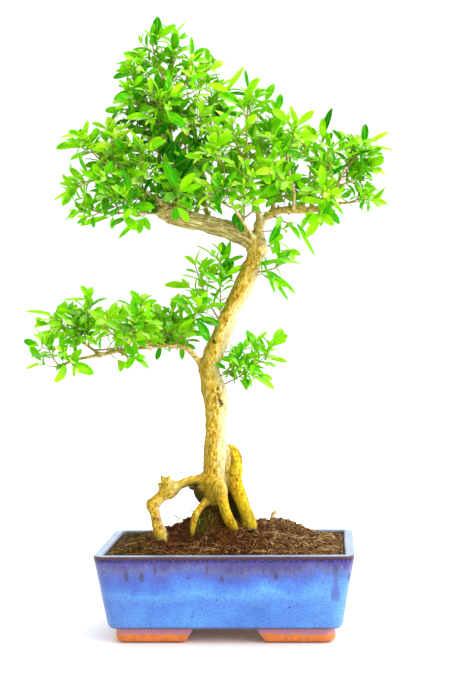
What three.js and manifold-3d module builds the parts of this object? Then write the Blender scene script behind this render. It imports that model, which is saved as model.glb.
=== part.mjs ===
// A serissa bonsai in its glazed rectangular pot.
// Millimetres, +Z up, the front of the pot faces -Y. While the parts are made, x = y = 0 is the
// middle of the pot and z = 0 is the table.
import * as THREE from 'three';
import Module from 'manifold-3d';

const wasm = await Module();
wasm.setup();

// Driving dimensions of the pot
const POT_WIDTH = 200;
const POT_DEPTH = 150;
const POT_HEIGHT = 69.5;
const WALL_TAPER = 10;
const WALL = 7.5;
const FLOOR = 7;
const FLOOR_ROUND = 3;
const CORNER = 10;
const EDGE_ROUND = 4;
const FOOT_HEIGHT = 11.5;
const FLOOR_Z = FOOT_HEIGHT + FLOOR;
const FOOT_INSET = 5.5;
const FOOT_LENGTH = 61;
const FOOT_DEPTH_LENGTH = 38;
const FOOT_THICKNESS = 14;
const FOOT_SLOPE = 8;
const RIM_ROUND = 0.8;
const INNER_CORNER = 2.5;
// The rounded bottom of the feet, as [height, how far in from their upper edge]
const FOOT_ROUNDING = [[0, 7], [1.2, 4], [4, 1.8]];
const DRAIN_RADIUS = 8;
const DRAIN_SIDES = 20;
const DRAIN_X = 45;

// Driving dimensions of the drainage netting
const NET_SIZE = 26;
const NET_THICKNESS = 0.8;
const NET_HOLE = 5.4;
const NET_PITCH = 7.4;
const NET_HOLES_A_SIDE = 3;

// Driving dimensions of the soil
const SOIL_EDGE_Z = POT_HEIGHT - 3;
const SOIL_HALF_WIDTH = 92;
const SOIL_HALF_DEPTH = 67;
const SOIL_DOME = 6;
const SOIL_CLOD = 1.2;
const PILE_X = -11;
const PILE_Y = 4;
// Humps on the soil, as [x, y, height, spread along x, spread along y]. The first three are the pile.
const SOIL_HUMPS = [
  [PILE_X, PILE_Y, 27, 8, 9], [2, 8, 13, 16, 18], [-22, 6, 5, 14, 16], [44, 14, 9, 13, 16],
  [-48, 8, 4, 14, 20],
];
// Rings of points on top of the soil, as shares of the way from the pile out to the pot's wall
const SOIL_RINGS = [1, 0.93, 0.82, 0.7, 0.58, 0.47, 0.37, 0.28, 0.2, 0.13, 0.08, 0.03];
const SOIL_CORNER_STEPS = 5;

// Clearance between pieces that touch on the real thing
const GAP = 0.3;

// Driving dimensions of the twigs. A twig bows out and sags by these shares of its length. A long one has
// leaf pairs at more places, and a short one has fewer side twigs.
const TWIG_RADIUS = 0.95;
const TWIG_TIP_RADIUS = 0.6;
const TWIG_BOW = 0.16;
const TWIG_SAG = 0.1;
const LONG_TWIG = 42;
const SHORT_TWIG = 30;
const LONG_TWIG_NODES = [0.36, 0.58, 0.8];
const TWIG_NODES = [0.42, 0.72];
const NODE_LENGTH = 1.5;
const TWIGLET_RADIUS = 0.7;
const TWIGLET_LENGTH = 11;
const TWIGLET_LENGTH_SPREAD = 5;

// Driving dimensions of the leaves. Angles are in radians.
const LEAF_LENGTH = 19;
const LEAF_LENGTH_SPREAD = 5;
const END_LEAF_SIZE = 0.9;
const LEAF_SLENDERNESS = 0.31;
const LEAF_THICKNESS = 0.9;
const LEAF_DROOP = 0.12;
const LEAF_SHARES = [0.36, 0.7];
const LEAF_ROLL = 0.6;
const LEAF_LIGHT_TURN = 0.6;
const LEAF_ANGLE = 1.15;
const LEAF_ANGLE_CLOSING = 0.35;
const END_LEAF_ANGLE = 0.5;
const TWIGLET_ANGLE = 0.8;
const TWIGLET_LEAF_ANGLE = 0.6;

// Turns and lifts that a leaf, a twig or a side twig may take to stay clear of what is there already
const LEAF_SWINGS = [
  [0, 0], [0.35, 0], [-0.35, 0], [0, 0.3], [0, -0.3], [0.6, 0.2], [-0.6, 0.2], [0.6, -0.2], [-0.6, -0.2],
];
const TWIG_SWINGS = [0, 0.6, -0.6, 1.2, -1.2, 1.8, -1.8, 2.6];
const TWIGLET_SWINGS = [0, 0.4, -0.4, 0.8, -0.8];

// Which random draw sets what. Each leaf has two: its length, and half a step on its roll.
const DRAW = {
  turn: 1, right: 20, left: 40, endRight: 60, endLeft: 61, twiglet: 70, twigletRight: 90, twigletLeft: 92,
};

// Wood. Each limb is the list of points along its middle, as [x, y, z, radius].
const LIMBS = {
  trunk: [
    [-13, 2, 103, 7.5], [-12, 2, 115, 9.5], [-11, 1, 127, 8.5], [-10, 0, 143, 8.2], [-9, -1, 159, 8],
    [-9, -3, 174, 8.6], [-9, -4, 185, 9.7], [-11, -4, 196, 8.9], [-13, -3, 207, 8.1], [-10, -2, 219, 7.3],
    [-6, 0, 230, 7.3], [-1, 2, 243, 7.1], [5, 4, 257, 7], [12, 5, 271, 7.4], [19, 5, 285, 7.4],
    [24, 4, 297, 7], [25, 3, 309, 7.2],
  ],
  right: [
    [25, 3, 301, 6.4], [27, 3, 317, 5], [29, 4, 324, 4.2], [36, 6, 330, 3.4], [47, 8, 334, 3.1],
    [60, 9, 334, 2.9], [73, 10, 334, 2.6], [86, 8, 338, 2.1], [99, 5, 339, 1.3],
  ],
  cut: [
    [25, 3, 307, 6.5], [15, 2, 313, 7], [4, 0, 318, 7], [-11, -3, 323, 6.9], [-23, -5, 326, 6.5],
    [-35, -7, 329, 7.3], [-44, -8, 332, 6.4], [-50, -9, 334, 4.8],
  ],
  pad: [
    [-15, -1, 203, 5], [-21, -2, 213, 3.7], [-25, -4, 219, 3.4], [-30, -6, 224, 3], [-39, -9, 227, 2.1],
    [-52, -12, 227, 1.9], [-67, -16, 226, 2.1], [-83, -19, 224, 2.2], [-98, -22, 221, 2],
    [-114, -25, 218, 1.9], [-124, -27, 215, 1.7], [-134, -28, 212, 1.2],
  ],
  leader: [
    [-35, -7, 329, 4.4], [-39, -5, 346, 4], [-42, -2, 367, 3.5], [-42, 0, 389, 2.9], [-43, -1, 413, 2.2],
    [-45, -2, 435, 1.4],
  ],
  leader_right: [[-42, -2, 366, 2.6], [-37, 9, 383, 2.2], [-29, 17, 402, 1.8], [-25, 21, 421, 1.2]],
  leader_left: [[-42, -1, 381, 2.4], [-49, -12, 396, 2], [-57, -18, 411, 1.6], [-61, -20, 425, 1.1]],
  left_upper: [
    [-41, -8, 333, 3.4], [-55, -16, 345, 2.9], [-70, -22, 355, 2.4], [-85, -25, 366, 1.8],
    [-95, -26, 374, 1.2],
  ],
  left_back: [
    [-42, -6, 334, 3.2], [-59, 14, 346, 2.7], [-77, 26, 353, 2.2], [-94, 33, 359, 1.6], [-106, 36, 364, 1.2],
  ],
  left_lower: [[-46, -9, 332, 2.2], [-60, -22, 332, 1.8], [-75, -29, 332, 1.4], [-89, -33, 331, 1.1]],
  middle_back: [
    [-10, -1, 322, 3.2], [-16, 14, 339, 2.7], [-19, 27, 359, 2.2], [-17, 33, 379, 1.6], [-15, 35, 395, 1.1],
  ],
  middle: [[28, 4, 321, 3.6], [26, -2, 337, 3.1], [21, -6, 354, 2.6], [19, -8, 375, 2], [19, -8, 397, 1.3]],
  middle_front: [
    [25, 1, 309, 2.8], [16, -22, 324, 2.4], [8, -36, 338, 2], [4, -44, 354, 1.5], [3, -46, 364, 1.1],
  ],
  right_up: [[38, 6, 331, 2.8], [39, 14, 349, 2.4], [37, 20, 369, 1.9], [35, 22, 386, 1.3]],
  right_front: [[54, 9, 334, 2.6], [56, -12, 345, 2.2], [53, -24, 360, 1.8], [51, -28, 377, 1.2]],
  right_back: [[60, 9, 334, 2.6], [65, 30, 345, 2.2], [67, 44, 360, 1.8], [69, 50, 374, 1.2]],
  right_tip: [[80, 9, 336, 2.2], [87, 2, 346, 1.9], [92, -4, 356, 1.5], [96, -7, 367, 1.1]],
  pad_front: [[-59, -14, 226, 1.8], [-69, -30, 230, 1.5], [-80, -42, 234, 1.1]],
  pad_back: [[-42, -9, 227, 1.9], [-56, 12, 230, 1.6], [-72, 28, 233, 1.3], [-88, 38, 236, 1.1]],
  pad_left: [[-98, -22, 221, 1.8], [-109, -14, 228, 1.4], [-119, -8, 233, 1.1]],
  root_left: [
    [-12, 2, 118, 7], [-20, 0, 119, 4.8], [-29, -3, 119, 3.7], [-38, -6, 116, 3.9], [-45, -9, 112, 5],
    [-53, -11, 107, 5], [-58, -13, 101, 4.6], [-57, -14, 94, 4], [-55, -15, 85, 4.3], [-52, -16, 76, 4.9],
    [-50, -17, 64, 4.4],
  ],
  root_front: [
    [-12, 0, 120, 7], [-8, -3, 115, 5.1], [-5, -6, 108, 4.3], [-3, -9, 100, 4.1], [0, -12, 92, 4],
    [4, -14, 83, 4.1], [7, -15, 73, 4], [9, -16, 63, 3.4],
  ],
  root_thin: [
    [-12, 0, 111, 4.8], [-16, -5, 104, 2.8], [-21, -9, 99, 2.7], [-25, -12, 93, 2.6], [-27, -14, 85, 2.5],
    [-27, -15, 76, 2.4], [-27, -15, 66, 2],
  ],
  root_right: [
    [-7, 8, 137, 3.4], [-1, 10, 143, 3.9], [4, 8, 141, 4.7], [7, 6, 133, 4.7], [6, 4, 123, 4.7],
    [7, 2, 114, 5.1], [10, 0, 105, 5.5], [13, -2, 97, 5.5], [16, -4, 90, 5.1], [18, -6, 80, 5.3],
    [19, -8, 70, 4.8], [20, -9, 60, 4],
  ],
  root_back: [
    [-6, 6, 136, 3.6], [-2, 13, 124, 4], [1, 15, 110, 4.2], [4, 18, 96, 4.5], [7, 21, 84, 4.6],
    [8, 24, 70, 4.2], [9, 26, 60, 3.6],
  ],
  root_far: [
    [-12, 6, 117, 6], [-10, 18, 109, 5], [-9, 28, 98, 4.6], [-9, 36, 86, 4.4], [-10, 41, 74, 4.2],
    [-10, 43, 62, 3.6],
  ],
  burl: [[-13, 5, 114, 7], [-21, 8, 113, 5.4], [-30, 13, 113, 3]],
};
const LIMB_SIDES = { trunk: 11, right: 7, cut: 9, pad: 6, root_right: 7, root_left: 7, root_front: 7 };
const THIN_LIMB_SIDES = 5;

// Knots, as [x, y, z, radius]: the pruning scar on the trunk, the bud under the fork, the lump on a root
const KNOTS = [[-7, -10, 185, 4.4], [30, 4, 302, 3], [-46, -9, 114, 5]];

// Leafy shoots, as [limb they grow from, how far along it, tip of the twig]
const SHOOTS = {
  leader: [
    ['leader', 1, [-56, -6, 470]], ['leader', 0.86, [-39, 6, 473]], ['leader', 0.74, [-25, -14, 449]],
    ['leader_left', 1, [-64, -26, 445]], ['leader_left', 0.7, [-71, -38, 425]],
    ['leader_left', 0.45, [-45, -46, 419]], ['leader_right', 1, [-15, 26, 452]],
    ['leader_right', 0.72, [-4, 20, 434]], ['leader_right', 0.5, [-17, -14, 406]],
    ['leader', 0.55, [-55, 34, 440]],
  ],
  left: [
    ['left_upper', 1, [-106, -30, 389]], ['left_upper', 0.72, [-84, -38, 394]],
    ['left_upper', 0.42, [-61, -50, 382]], ['left_upper', 0.55, [-91, -52, 356]],
    ['left_back', 1, [-126, 38, 360]], ['left_back', 0.6, [-92, 52, 388]],
    ['left_lower', 1, [-102, -38, 336]], ['left_lower', 0.5, [-72, -56, 343]],
  ],
  middle: [
    ['middle_back', 1, [-8, 46, 416]], ['middle_back', 0.6, [-26, 54, 394]], ['middle', 1, [20, -10, 422]],
    ['middle', 0.6, [9, -30, 398]], ['middle_front', 1, [-4, -54, 379]],
    ['middle_front', 0.55, [-10, -52, 349]], ['middle_front', 0.35, [19, -52, 363]],
    ['leader', 0.12, [-33, -42, 351]],
  ],
  right: [
    ['right_up', 1, [40, 26, 408]], ['right_up', 0.5, [24, 44, 392]], ['right_front', 1, [59, -34, 395]],
    ['right_front', 0.5, [41, -50, 366]], ['right_back', 1, [63, 54, 389]],
    ['right_back', 0.6, [80, 52, 377]], ['right_tip', 1, [102, -10, 381]],
    ['right_tip', 0.75, [115, 10, 374]], ['right_tip', 0.4, [82, -24, 385]], ['right', 1, [112, 12, 347]],
    ['right', 0.8, [78, -36, 348]], ['right', 0.75, [78, -14, 322]], ['right', 0.35, [53, -16, 322]],
  ],
  sprig: [
    ['trunk', 0.88, [46, -8, 291]], ['trunk', 0.97, [45, 11, 313]], ['trunk', 0.42, [38, -8, 226]],
    ['trunk', 0.46, [14, -16, 213]], ['trunk', 0.62, [-3, -10, 300]], ['trunk', 0.66, [-24, 6, 290]],
  ],
  pad: [
    ['pad_left', 1, [-135, -4, 248]], ['pad', 0.97, [-137, -38, 229]], ['pad_left', 0.5, [-107, -24, 262]],
    ['pad_front', 1, [-91, -52, 246]], ['pad_front', 0.4, [-66, -46, 250]], ['pad_back', 1, [-106, 46, 249]],
    ['pad_back', 0.6, [-72, 36, 257]], ['pad', 0.36, [-41, -14, 254]], ['pad', 0.3, [-20, -24, 257]],
    ['pad', 0.62, [-69, -28, 218]],
  ],
};

// Finishes
const finish = (color, roughness) => {
  return new THREE.MeshStandardMaterial({ color, roughness, metalness: 0, flatShading: true });
};
const glaze = finish(0x4f86dc, 0.25);
const netting = finish(0x2b2d2c, 0.6);
const earth = finish(0x5a3d25, 0.95);
const bark = finish(0xb8924a, 0.85);
const leafGreen = finish(0x5fb31c, 0.5);

// A number from 0 to 1 that is always the same for the same seed and draw.
function chance(seed, draw) {
  const value = Math.sin(seed * 12.9898 + draw * 78.233) * 43758.5453;
  return value - Math.floor(value);
}

const vector = ([x, y, z]) => new THREE.Vector3(x, y, z);

// A solid from points and triangles that name them.
function solidOf(points, triangles) {
  const vertProperties = new Float32Array(points.flatMap((p) => [p.x, p.y, p.z]));
  const triVerts = new Uint32Array(triangles);
  return new wasm.Manifold(new wasm.Mesh({ numProp: 3, vertProperties, triVerts }));
}

// A solid from loops of equal point counts, anticlockwise seen from the last loop, closed at both ends.
function loft(loops) {
  const count = loops[0].length;
  const top = (loops.length - 1) * count;
  const triangles = [];
  for (let i = 0; i + 1 < loops.length; i++) {
    for (let j = 0; j < count; j++) {
      const a = i * count + j;
      const b = i * count + ((j + 1) % count);
      triangles.push(a, b, b + count, a, b + count, a + count);
    }
  }
  for (let j = 1; j + 1 < count; j++) {
    triangles.push(0, j + 1, j, top, top + j, top + j + 1);
  }
  return solidOf(loops.flat(), triangles);
}

// One solid from several that overlap.
const joined = (solids) => solids.reduce((sum, solid) => sum.add(solid));

// The largest body of a solid that a cut has left in several.
function largestBody(solid) {
  return solid.decompose().reduce((best, body) => (body.volume() > best.volume() ? body : best));
}

// A named mesh with the skin of a solid.
function meshOf(name, solid, material) {
  const { vertProperties, triVerts, numProp } = solid.getMesh();
  const positions = [];
  for (let i = 0; i < vertProperties.length; i += numProp) {
    positions.push(vertProperties[i], vertProperties[i + 1], vertProperties[i + 2]);
  }
  const geometry = new THREE.BufferGeometry();
  geometry.setAttribute('position', new THREE.Float32BufferAttribute(positions, 3));
  geometry.setIndex(Array.from(triVerts));
  geometry.computeVertexNormals();
  const mesh = new THREE.Mesh(geometry, material);
  mesh.name = name;
  return mesh;
}

// A level rectangle with round corners, anticlockwise from above.
function roundedRectangle(halfWidth, halfDepth, radius, z, steps = 3) {
  const loop = [];
  for (let corner = 0; corner < 4; corner++) {
    const sideX = corner === 0 || corner === 3 ? 1 : -1;
    const sideY = corner < 2 ? 1 : -1;
    for (let i = 0; i <= steps; i++) {
      const angle = (corner + i / steps) * (Math.PI / 2);
      const x = sideX * (halfWidth - radius) + radius * Math.cos(angle);
      const y = sideY * (halfDepth - radius) + radius * Math.sin(angle);
      loop.push(new THREE.Vector3(x, y, z));
    }
  }
  return loop;
}

// How far the outside of the pot's wall has drawn in at a height.
const wallInset = (z) => (WALL_TAPER * (POT_HEIGHT - z)) / (POT_HEIGHT - FOOT_HEIGHT);

// A level loop that follows the pot's wall, a distance inside its outer face.
function wallLoop(z, inside, steps) {
  const inset = wallInset(z) + inside;
  const radius = Math.max(CORNER - inside, INNER_CORNER);
  return roundedRectangle(POT_WIDTH / 2 - inset, POT_DEPTH / 2 - inset, radius, z, steps);
}

// The two lowest loops of a filling that stands on the pot's floor, rounded where floor and wall meet.
function floorLoops(z, inside, steps) {
  return [wallLoop(z, inside + FLOOR_ROUND / 2, steps), wallLoop(z + FLOOR_ROUND, inside, steps)];
}

// A bar across the whole pot that is wider below, which parts the feet.
function footGap(halfTop, halfBottom, alongX) {
  const reach = POT_WIDTH;
  const ends = [-reach, reach].map((end) => {
    const profile = [[-halfBottom, -1], [halfBottom, -1], [halfTop, FOOT_HEIGHT], [-halfTop, FOOT_HEIGHT]];
    return profile.map(([across, z]) => new THREE.Vector3(across, end, z));
  });
  const bar = loft([ends[1], ends[0]]);
  return alongX ? bar.rotate([0, 0, 90]) : bar;
}

// An upright round bar.
function uprightBar(x, y, bottom, top, radius, sides) {
  const ring = Array.from({ length: sides }, (_, i) => {
    const angle = (i * 2 * Math.PI) / sides;
    return [x + radius * Math.cos(angle), y + radius * Math.sin(angle)];
  });
  return loft([bottom, top].map((z) => ring.map((point) => vector([...point, z]))));
}

// The pot: tapered walls, a flat rim, four corner feet and two drainage holes.
function makePot() {
  const shell = loft([
    wallLoop(FOOT_HEIGHT, EDGE_ROUND * 0.8),
    wallLoop(FOOT_HEIGHT + EDGE_ROUND * 0.35, EDGE_ROUND * 0.22),
    wallLoop(FOOT_HEIGHT + EDGE_ROUND, 0),
    wallLoop(POT_HEIGHT - RIM_ROUND, 0),
    wallLoop(POT_HEIGHT, RIM_ROUND),
  ]);
  const inside = loft([...floorLoops(FLOOR_Z, WALL), wallLoop(POT_HEIGHT + 1, WALL)]);

  const footWidth = POT_WIDTH / 2 - WALL_TAPER - FOOT_INSET;
  const footDepth = POT_DEPTH / 2 - WALL_TAPER - FOOT_INSET;
  const footLoop = (z, inset) => roundedRectangle(footWidth - inset, footDepth - inset, CORNER - 2, z);
  const rounding = FOOT_ROUNDING.map(([z, inset]) => footLoop(z, inset));
  const outer = loft([...rounding, footLoop(FOOT_HEIGHT + 1, 0)]);
  const inner = loft([-1, FOOT_HEIGHT].map((z) => {
    return roundedRectangle(footWidth - FOOT_THICKNESS, footDepth - FOOT_THICKNESS, CORNER / 2, z);
  }));
  const halfGapFront = footWidth - FOOT_LENGTH;
  const halfGapSide = footDepth - FOOT_DEPTH_LENGTH;
  const feet = outer
    .subtract(inner)
    .subtract(footGap(halfGapFront, halfGapFront + FOOT_SLOPE, false))
    .subtract(footGap(halfGapSide, halfGapSide + FOOT_SLOPE, true));

  const drains = [-DRAIN_X, DRAIN_X].map((x) => {
    return uprightBar(x, 0, FOOT_HEIGHT - FLOOR, FLOOR_Z + FLOOR, DRAIN_RADIUS, DRAIN_SIDES);
  });
  const pot = shell.add(feet).subtract(inside).subtract(joined(drains));
  return largestBody(pot);
}

// An upright square block.
function upright(x, y, half, bottom, top) {
  const corners = [[-1, -1], [1, -1], [1, 1], [-1, 1]];
  return loft([bottom, top].map((z) => corners.map(([sx, sy]) => vector([x + sx * half, y + sy * half, z]))));
}

// A square plate of drainage netting on the floor of the pot.
function makeNet(x) {
  const bottom = FLOOR_Z + GAP;
  const top = bottom + NET_THICKNESS;
  let net = upright(x, 0, NET_SIZE / 2, bottom, top);
  const first = (-(NET_HOLES_A_SIDE - 1) / 2) * NET_PITCH;
  for (let i = 0; i < NET_HOLES_A_SIDE; i++) {
    for (let j = 0; j < NET_HOLES_A_SIDE; j++) {
      net = net.subtract(
        upright(x + first + i * NET_PITCH, first + j * NET_PITCH, NET_HOLE / 2, bottom - 1, top + 1),
      );
    }
  }
  return net;
}

// The room that a net takes in the soil, with clearance.
function netRoom(x) {
  return upright(x, 0, NET_SIZE / 2 + GAP, FLOOR_Z - 1, FLOOR_Z + NET_THICKNESS + 2 * GAP);
}

// A rounded hump of a height at a place, for the soil.
function hump(x, y, [centreX, centreY, height, spreadX, spreadY]) {
  const dx = (x - centreX) / spreadX;
  const dy = (y - centreY) / spreadY;
  return height * Math.exp(-0.5 * (dx * dx + dy * dy));
}

// Height of the soil: level near the rim, domed in the middle, piled up under the trunk, cloddy all over.
function soilHeight(x, y) {
  const edge = Math.max(0, 1 - (x / SOIL_HALF_WIDTH) ** 4) * Math.max(0, 1 - (y / SOIL_HALF_DEPTH) ** 4);
  const humps = SOIL_HUMPS.reduce((sum, row) => sum + hump(x, y, row), 0);
  const waves = Math.sin(x * 0.55 + 2.1 * Math.sin(y * 0.31)) + Math.sin(y * 0.63 + 1.7 * Math.sin(x * 0.27));
  return SOIL_EDGE_Z + edge * (SOIL_DOME + humps + SOIL_CLOD * waves);
}

// The soil fills the pot. Its top is a net of rings that grow round as they shrink onto the pile.
function makeSoil(treeWithClearance) {
  const clearance = WALL + GAP;
  const sides = floorLoops(FLOOR_Z + GAP, clearance, SOIL_CORNER_STEPS);
  const rim = wallLoop(SOIL_EDGE_Z, clearance, SOIL_CORNER_STEPS);
  const rings = SOIL_RINGS.map((share) => rim.map((p) => {
    const angle = Math.atan2(p.y, p.x);
    const squareness = share * share;
    const reach = squareness * Math.hypot(p.x, p.y) + (1 - squareness) * (POT_DEPTH / 2);
    const x = share * reach * Math.cos(angle) + PILE_X * (1 - share);
    const y = share * reach * Math.sin(angle) + PILE_Y * (1 - share);
    return new THREE.Vector3(x, y, share === 1 ? p.z : soilHeight(x, y));
  }));
  const filling = loft([...sides, ...rings]);
  const cut = filling.subtract(treeWithClearance).subtract(netRoom(-DRAIN_X)).subtract(netRoom(DRAIN_X));
  return largestBody(cut);
}

// A round tapered limb along points with radii. Extra makes it fatter and longer by that much all round.
function limb(rows, sides, extra = 0) {
  const points = rows.map(vector);
  const last = points.length - 1;
  const direction = (i) => {
    const before = points[Math.max(i - 1, 0)];
    const after = points[Math.min(i + 1, last)];
    return after.clone().sub(before).normalize();
  };
  let across = new THREE.Vector3(0, 1, 0);
  const loops = points.map((point, i) => {
    const along = direction(i);
    across = across.clone().addScaledVector(along, -across.dot(along)).normalize();
    const third = along.clone().cross(across);
    const shift = i === 0 ? -extra : i === last ? extra : 0;
    const centre = point.clone().addScaledVector(along, shift);
    const radius = rows[i][3] + extra;
    return Array.from({ length: sides }, (_, k) => {
      const angle = (k * 2 * Math.PI) / sides;
      const offset = across.clone().multiplyScalar(Math.cos(angle)).addScaledVector(third, Math.sin(angle));
      return centre.clone().addScaledVector(offset, radius);
    });
  });
  return loft(loops);
}

// The rows of a small rounded knot, as a short limb.
function knotRows([x, y, z, radius]) {
  return [-0.8, 0, 0.8].map((lift) => [x, y, z + lift * radius, lift === 0 ? radius : 0.55 * radius]);
}

// The wood of the tree, grown together in one piece, or its room with clearance all round.
function makeTree(extra = 0) {
  const sidesOf = (name) => LIMB_SIDES[name] ?? THIN_LIMB_SIDES;
  const limbs = Object.entries(LIMBS).map(([name, rows]) => limb(rows, sidesOf(name), extra));
  const knots = KNOTS.map((row) => limb(knotRows(row), THIN_LIMB_SIDES, extra));
  return largestBody(joined([...limbs, ...knots]));
}

// The point and the radius a share of the way along a limb.
function placeAlong(rows, share) {
  const points = rows.map(vector);
  const lengths = points.slice(1).map((p, i) => p.distanceTo(points[i]));
  let left = share * lengths.reduce((sum, length) => sum + length, 0);
  let i = 0;
  while (i < lengths.length - 1 && left > lengths[i]) {
    left -= lengths[i];
    i += 1;
  }
  const part = Math.min(left / lengths[i], 1);
  const radius = rows[i][3] + (rows[i + 1][3] - rows[i][3]) * part;
  return { root: points[i].clone().lerp(points[i + 1], part), radius };
}

// A twig from root to tip that first reaches out and then lifts. Bend turns its bow round the straight line.
function twigCurve(root, tip, bend) {
  const straight = tip.clone().sub(root);
  const bow = new THREE.Vector3(TWIG_BOW * straight.x, TWIG_BOW * straight.y, -TWIG_SAG * straight.length());
  bow.applyAxisAngle(straight.clone().normalize(), bend);
  const middle = root.clone().lerp(tip, 0.5).add(bow);
  return new THREE.QuadraticBezierCurve3(root, middle, tip);
}

// The middle line of a twig: its point, its direction and two directions across it, at any share of the way.
function twigLine(curve) {
  const straight = curve.v2.clone().sub(curve.v0).normalize();
  const guide = Math.abs(straight.z) < 0.8 ? new THREE.Vector3(0, 0, 1) : new THREE.Vector3(0, 1, 0);
  return (share) => {
    const along = curve.getTangent(share);
    const side = guide.clone().cross(along).normalize();
    return { point: curve.getPoint(share), along, side, upper: along.clone().cross(side) };
  };
}

// The direction across a twig at a turn round it.
function outwards({ side, upper }, turn) {
  return side.clone().multiplyScalar(Math.cos(turn)).addScaledVector(upper, Math.sin(turn));
}

// A leaf that leaves a twig at a turn round it and an angle from it. Its face is the side turned up.
function leafAt(place, turn, angle, { length, roll }) {
  const { point, along } = place;
  const direction = along.clone().multiplyScalar(Math.cos(angle));
  direction.addScaledVector(outwards(place, turn), Math.sin(angle));
  const face = along.clone().addScaledVector(direction, -along.dot(direction)).normalize();
  face.add(new THREE.Vector3(0, 0, LEAF_LIGHT_TURN));
  face.addScaledVector(direction, -face.dot(direction)).normalize().applyAxisAngle(direction, roll);
  return { point, direction, face, length };
}

// The sections of a leaf's narrow blade, keeled below, each as [keel, right edge, left edge], and its tip.
// The tip bends down. Extra makes the blade bigger all round.
function leafSections({ point, direction, face, length }, shares, extra = 0) {
  const side = face.clone().cross(direction);
  const at = (share, across, lift) => {
    const droop = -LEAF_DROOP * length * share * share;
    return point.clone().addScaledVector(direction, length * share).addScaledVector(side, across)
      .addScaledVector(face, lift + droop);
  };
  const top = LEAF_THICKNESS * 0.4 + extra;
  const keel = top - LEAF_THICKNESS - 2 * extra;
  const sections = shares.map((share) => {
    const fullness = Math.min(1, 0.28 + 2.4 * share) * (share > 0.6 ? 0.84 : 0.96);
    const half = length * LEAF_SLENDERNESS * 0.5 * fullness + extra;
    return [at(share, 0, keel), at(share, half, top), at(share, -half, top)];
  });
  return { sections, tip: at(1 + (2 * extra) / length, 0, top - LEAF_THICKNESS / 3) };
}

// The space that a leaf takes, a little away from its twig, with clearance.
function leafRoom(leaf) {
  const { sections, tip } = leafSections(leaf, [0.2, ...LEAF_SHARES], GAP);
  const triangles = [0, 2, 1];
  for (let i = 0; i + 1 < sections.length; i++) {
    for (let j = 0; j < 3; j++) {
      const a = 3 * i + j;
      const b = 3 * i + ((j + 1) % 3);
      triangles.push(a, b, b + 3, a, b + 3, a + 3);
    }
  }
  const last = 3 * (sections.length - 1);
  const end = 3 * sections.length;
  triangles.push(last, last + 1, end, last + 1, last + 2, end, last + 2, last, end);
  return solidOf([...sections.flat(), tip], triangles);
}

// A solid with its box, for finding clashes.
const boxed = (solid) => ({ solid, box: solid.boundingBox() });

// Whether a solid meets any of some boxed solids.
function clashes({ solid, box }, others) {
  const near = (other) => [0, 1, 2].every((i) => {
    return box.min[i] < other.box.max[i] && box.max[i] > other.box.min[i];
  });
  return others.some((other) => near(other) && !solid.intersect(other.solid).isEmpty());
}

// The first of several versions of something whose room is clear, or null. The room joins the others.
function firstClear(versions, make, others) {
  for (const version of versions) {
    const { piece, room } = make(version);
    const candidate = boxed(room);
    if (!clashes(candidate, others)) {
      others.push(candidate);
      return piece;
    }
  }
  return null;
}

// A pair of opposite leaves, each turned or lifted a little where it would meet something, or left out.
function planPair(place, turn, angle, blades, others) {
  return blades.map((blade, i) => firstClear(LEAF_SWINGS, ([swing, lift]) => {
    const leaf = leafAt(place, turn + i * Math.PI + swing, angle + lift, blade);
    return { piece: leaf, room: leafRoom(leaf) };
  }, others));
}

// The rows of a thin straight limb, starting a little away from its root.
function twigletRows(point, direction, length) {
  return [0.25, 1].map((share) => {
    const p = point.clone().addScaledVector(direction, length * share);
    return [p.x, p.y, p.z, TWIGLET_RADIUS];
  });
}

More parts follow.
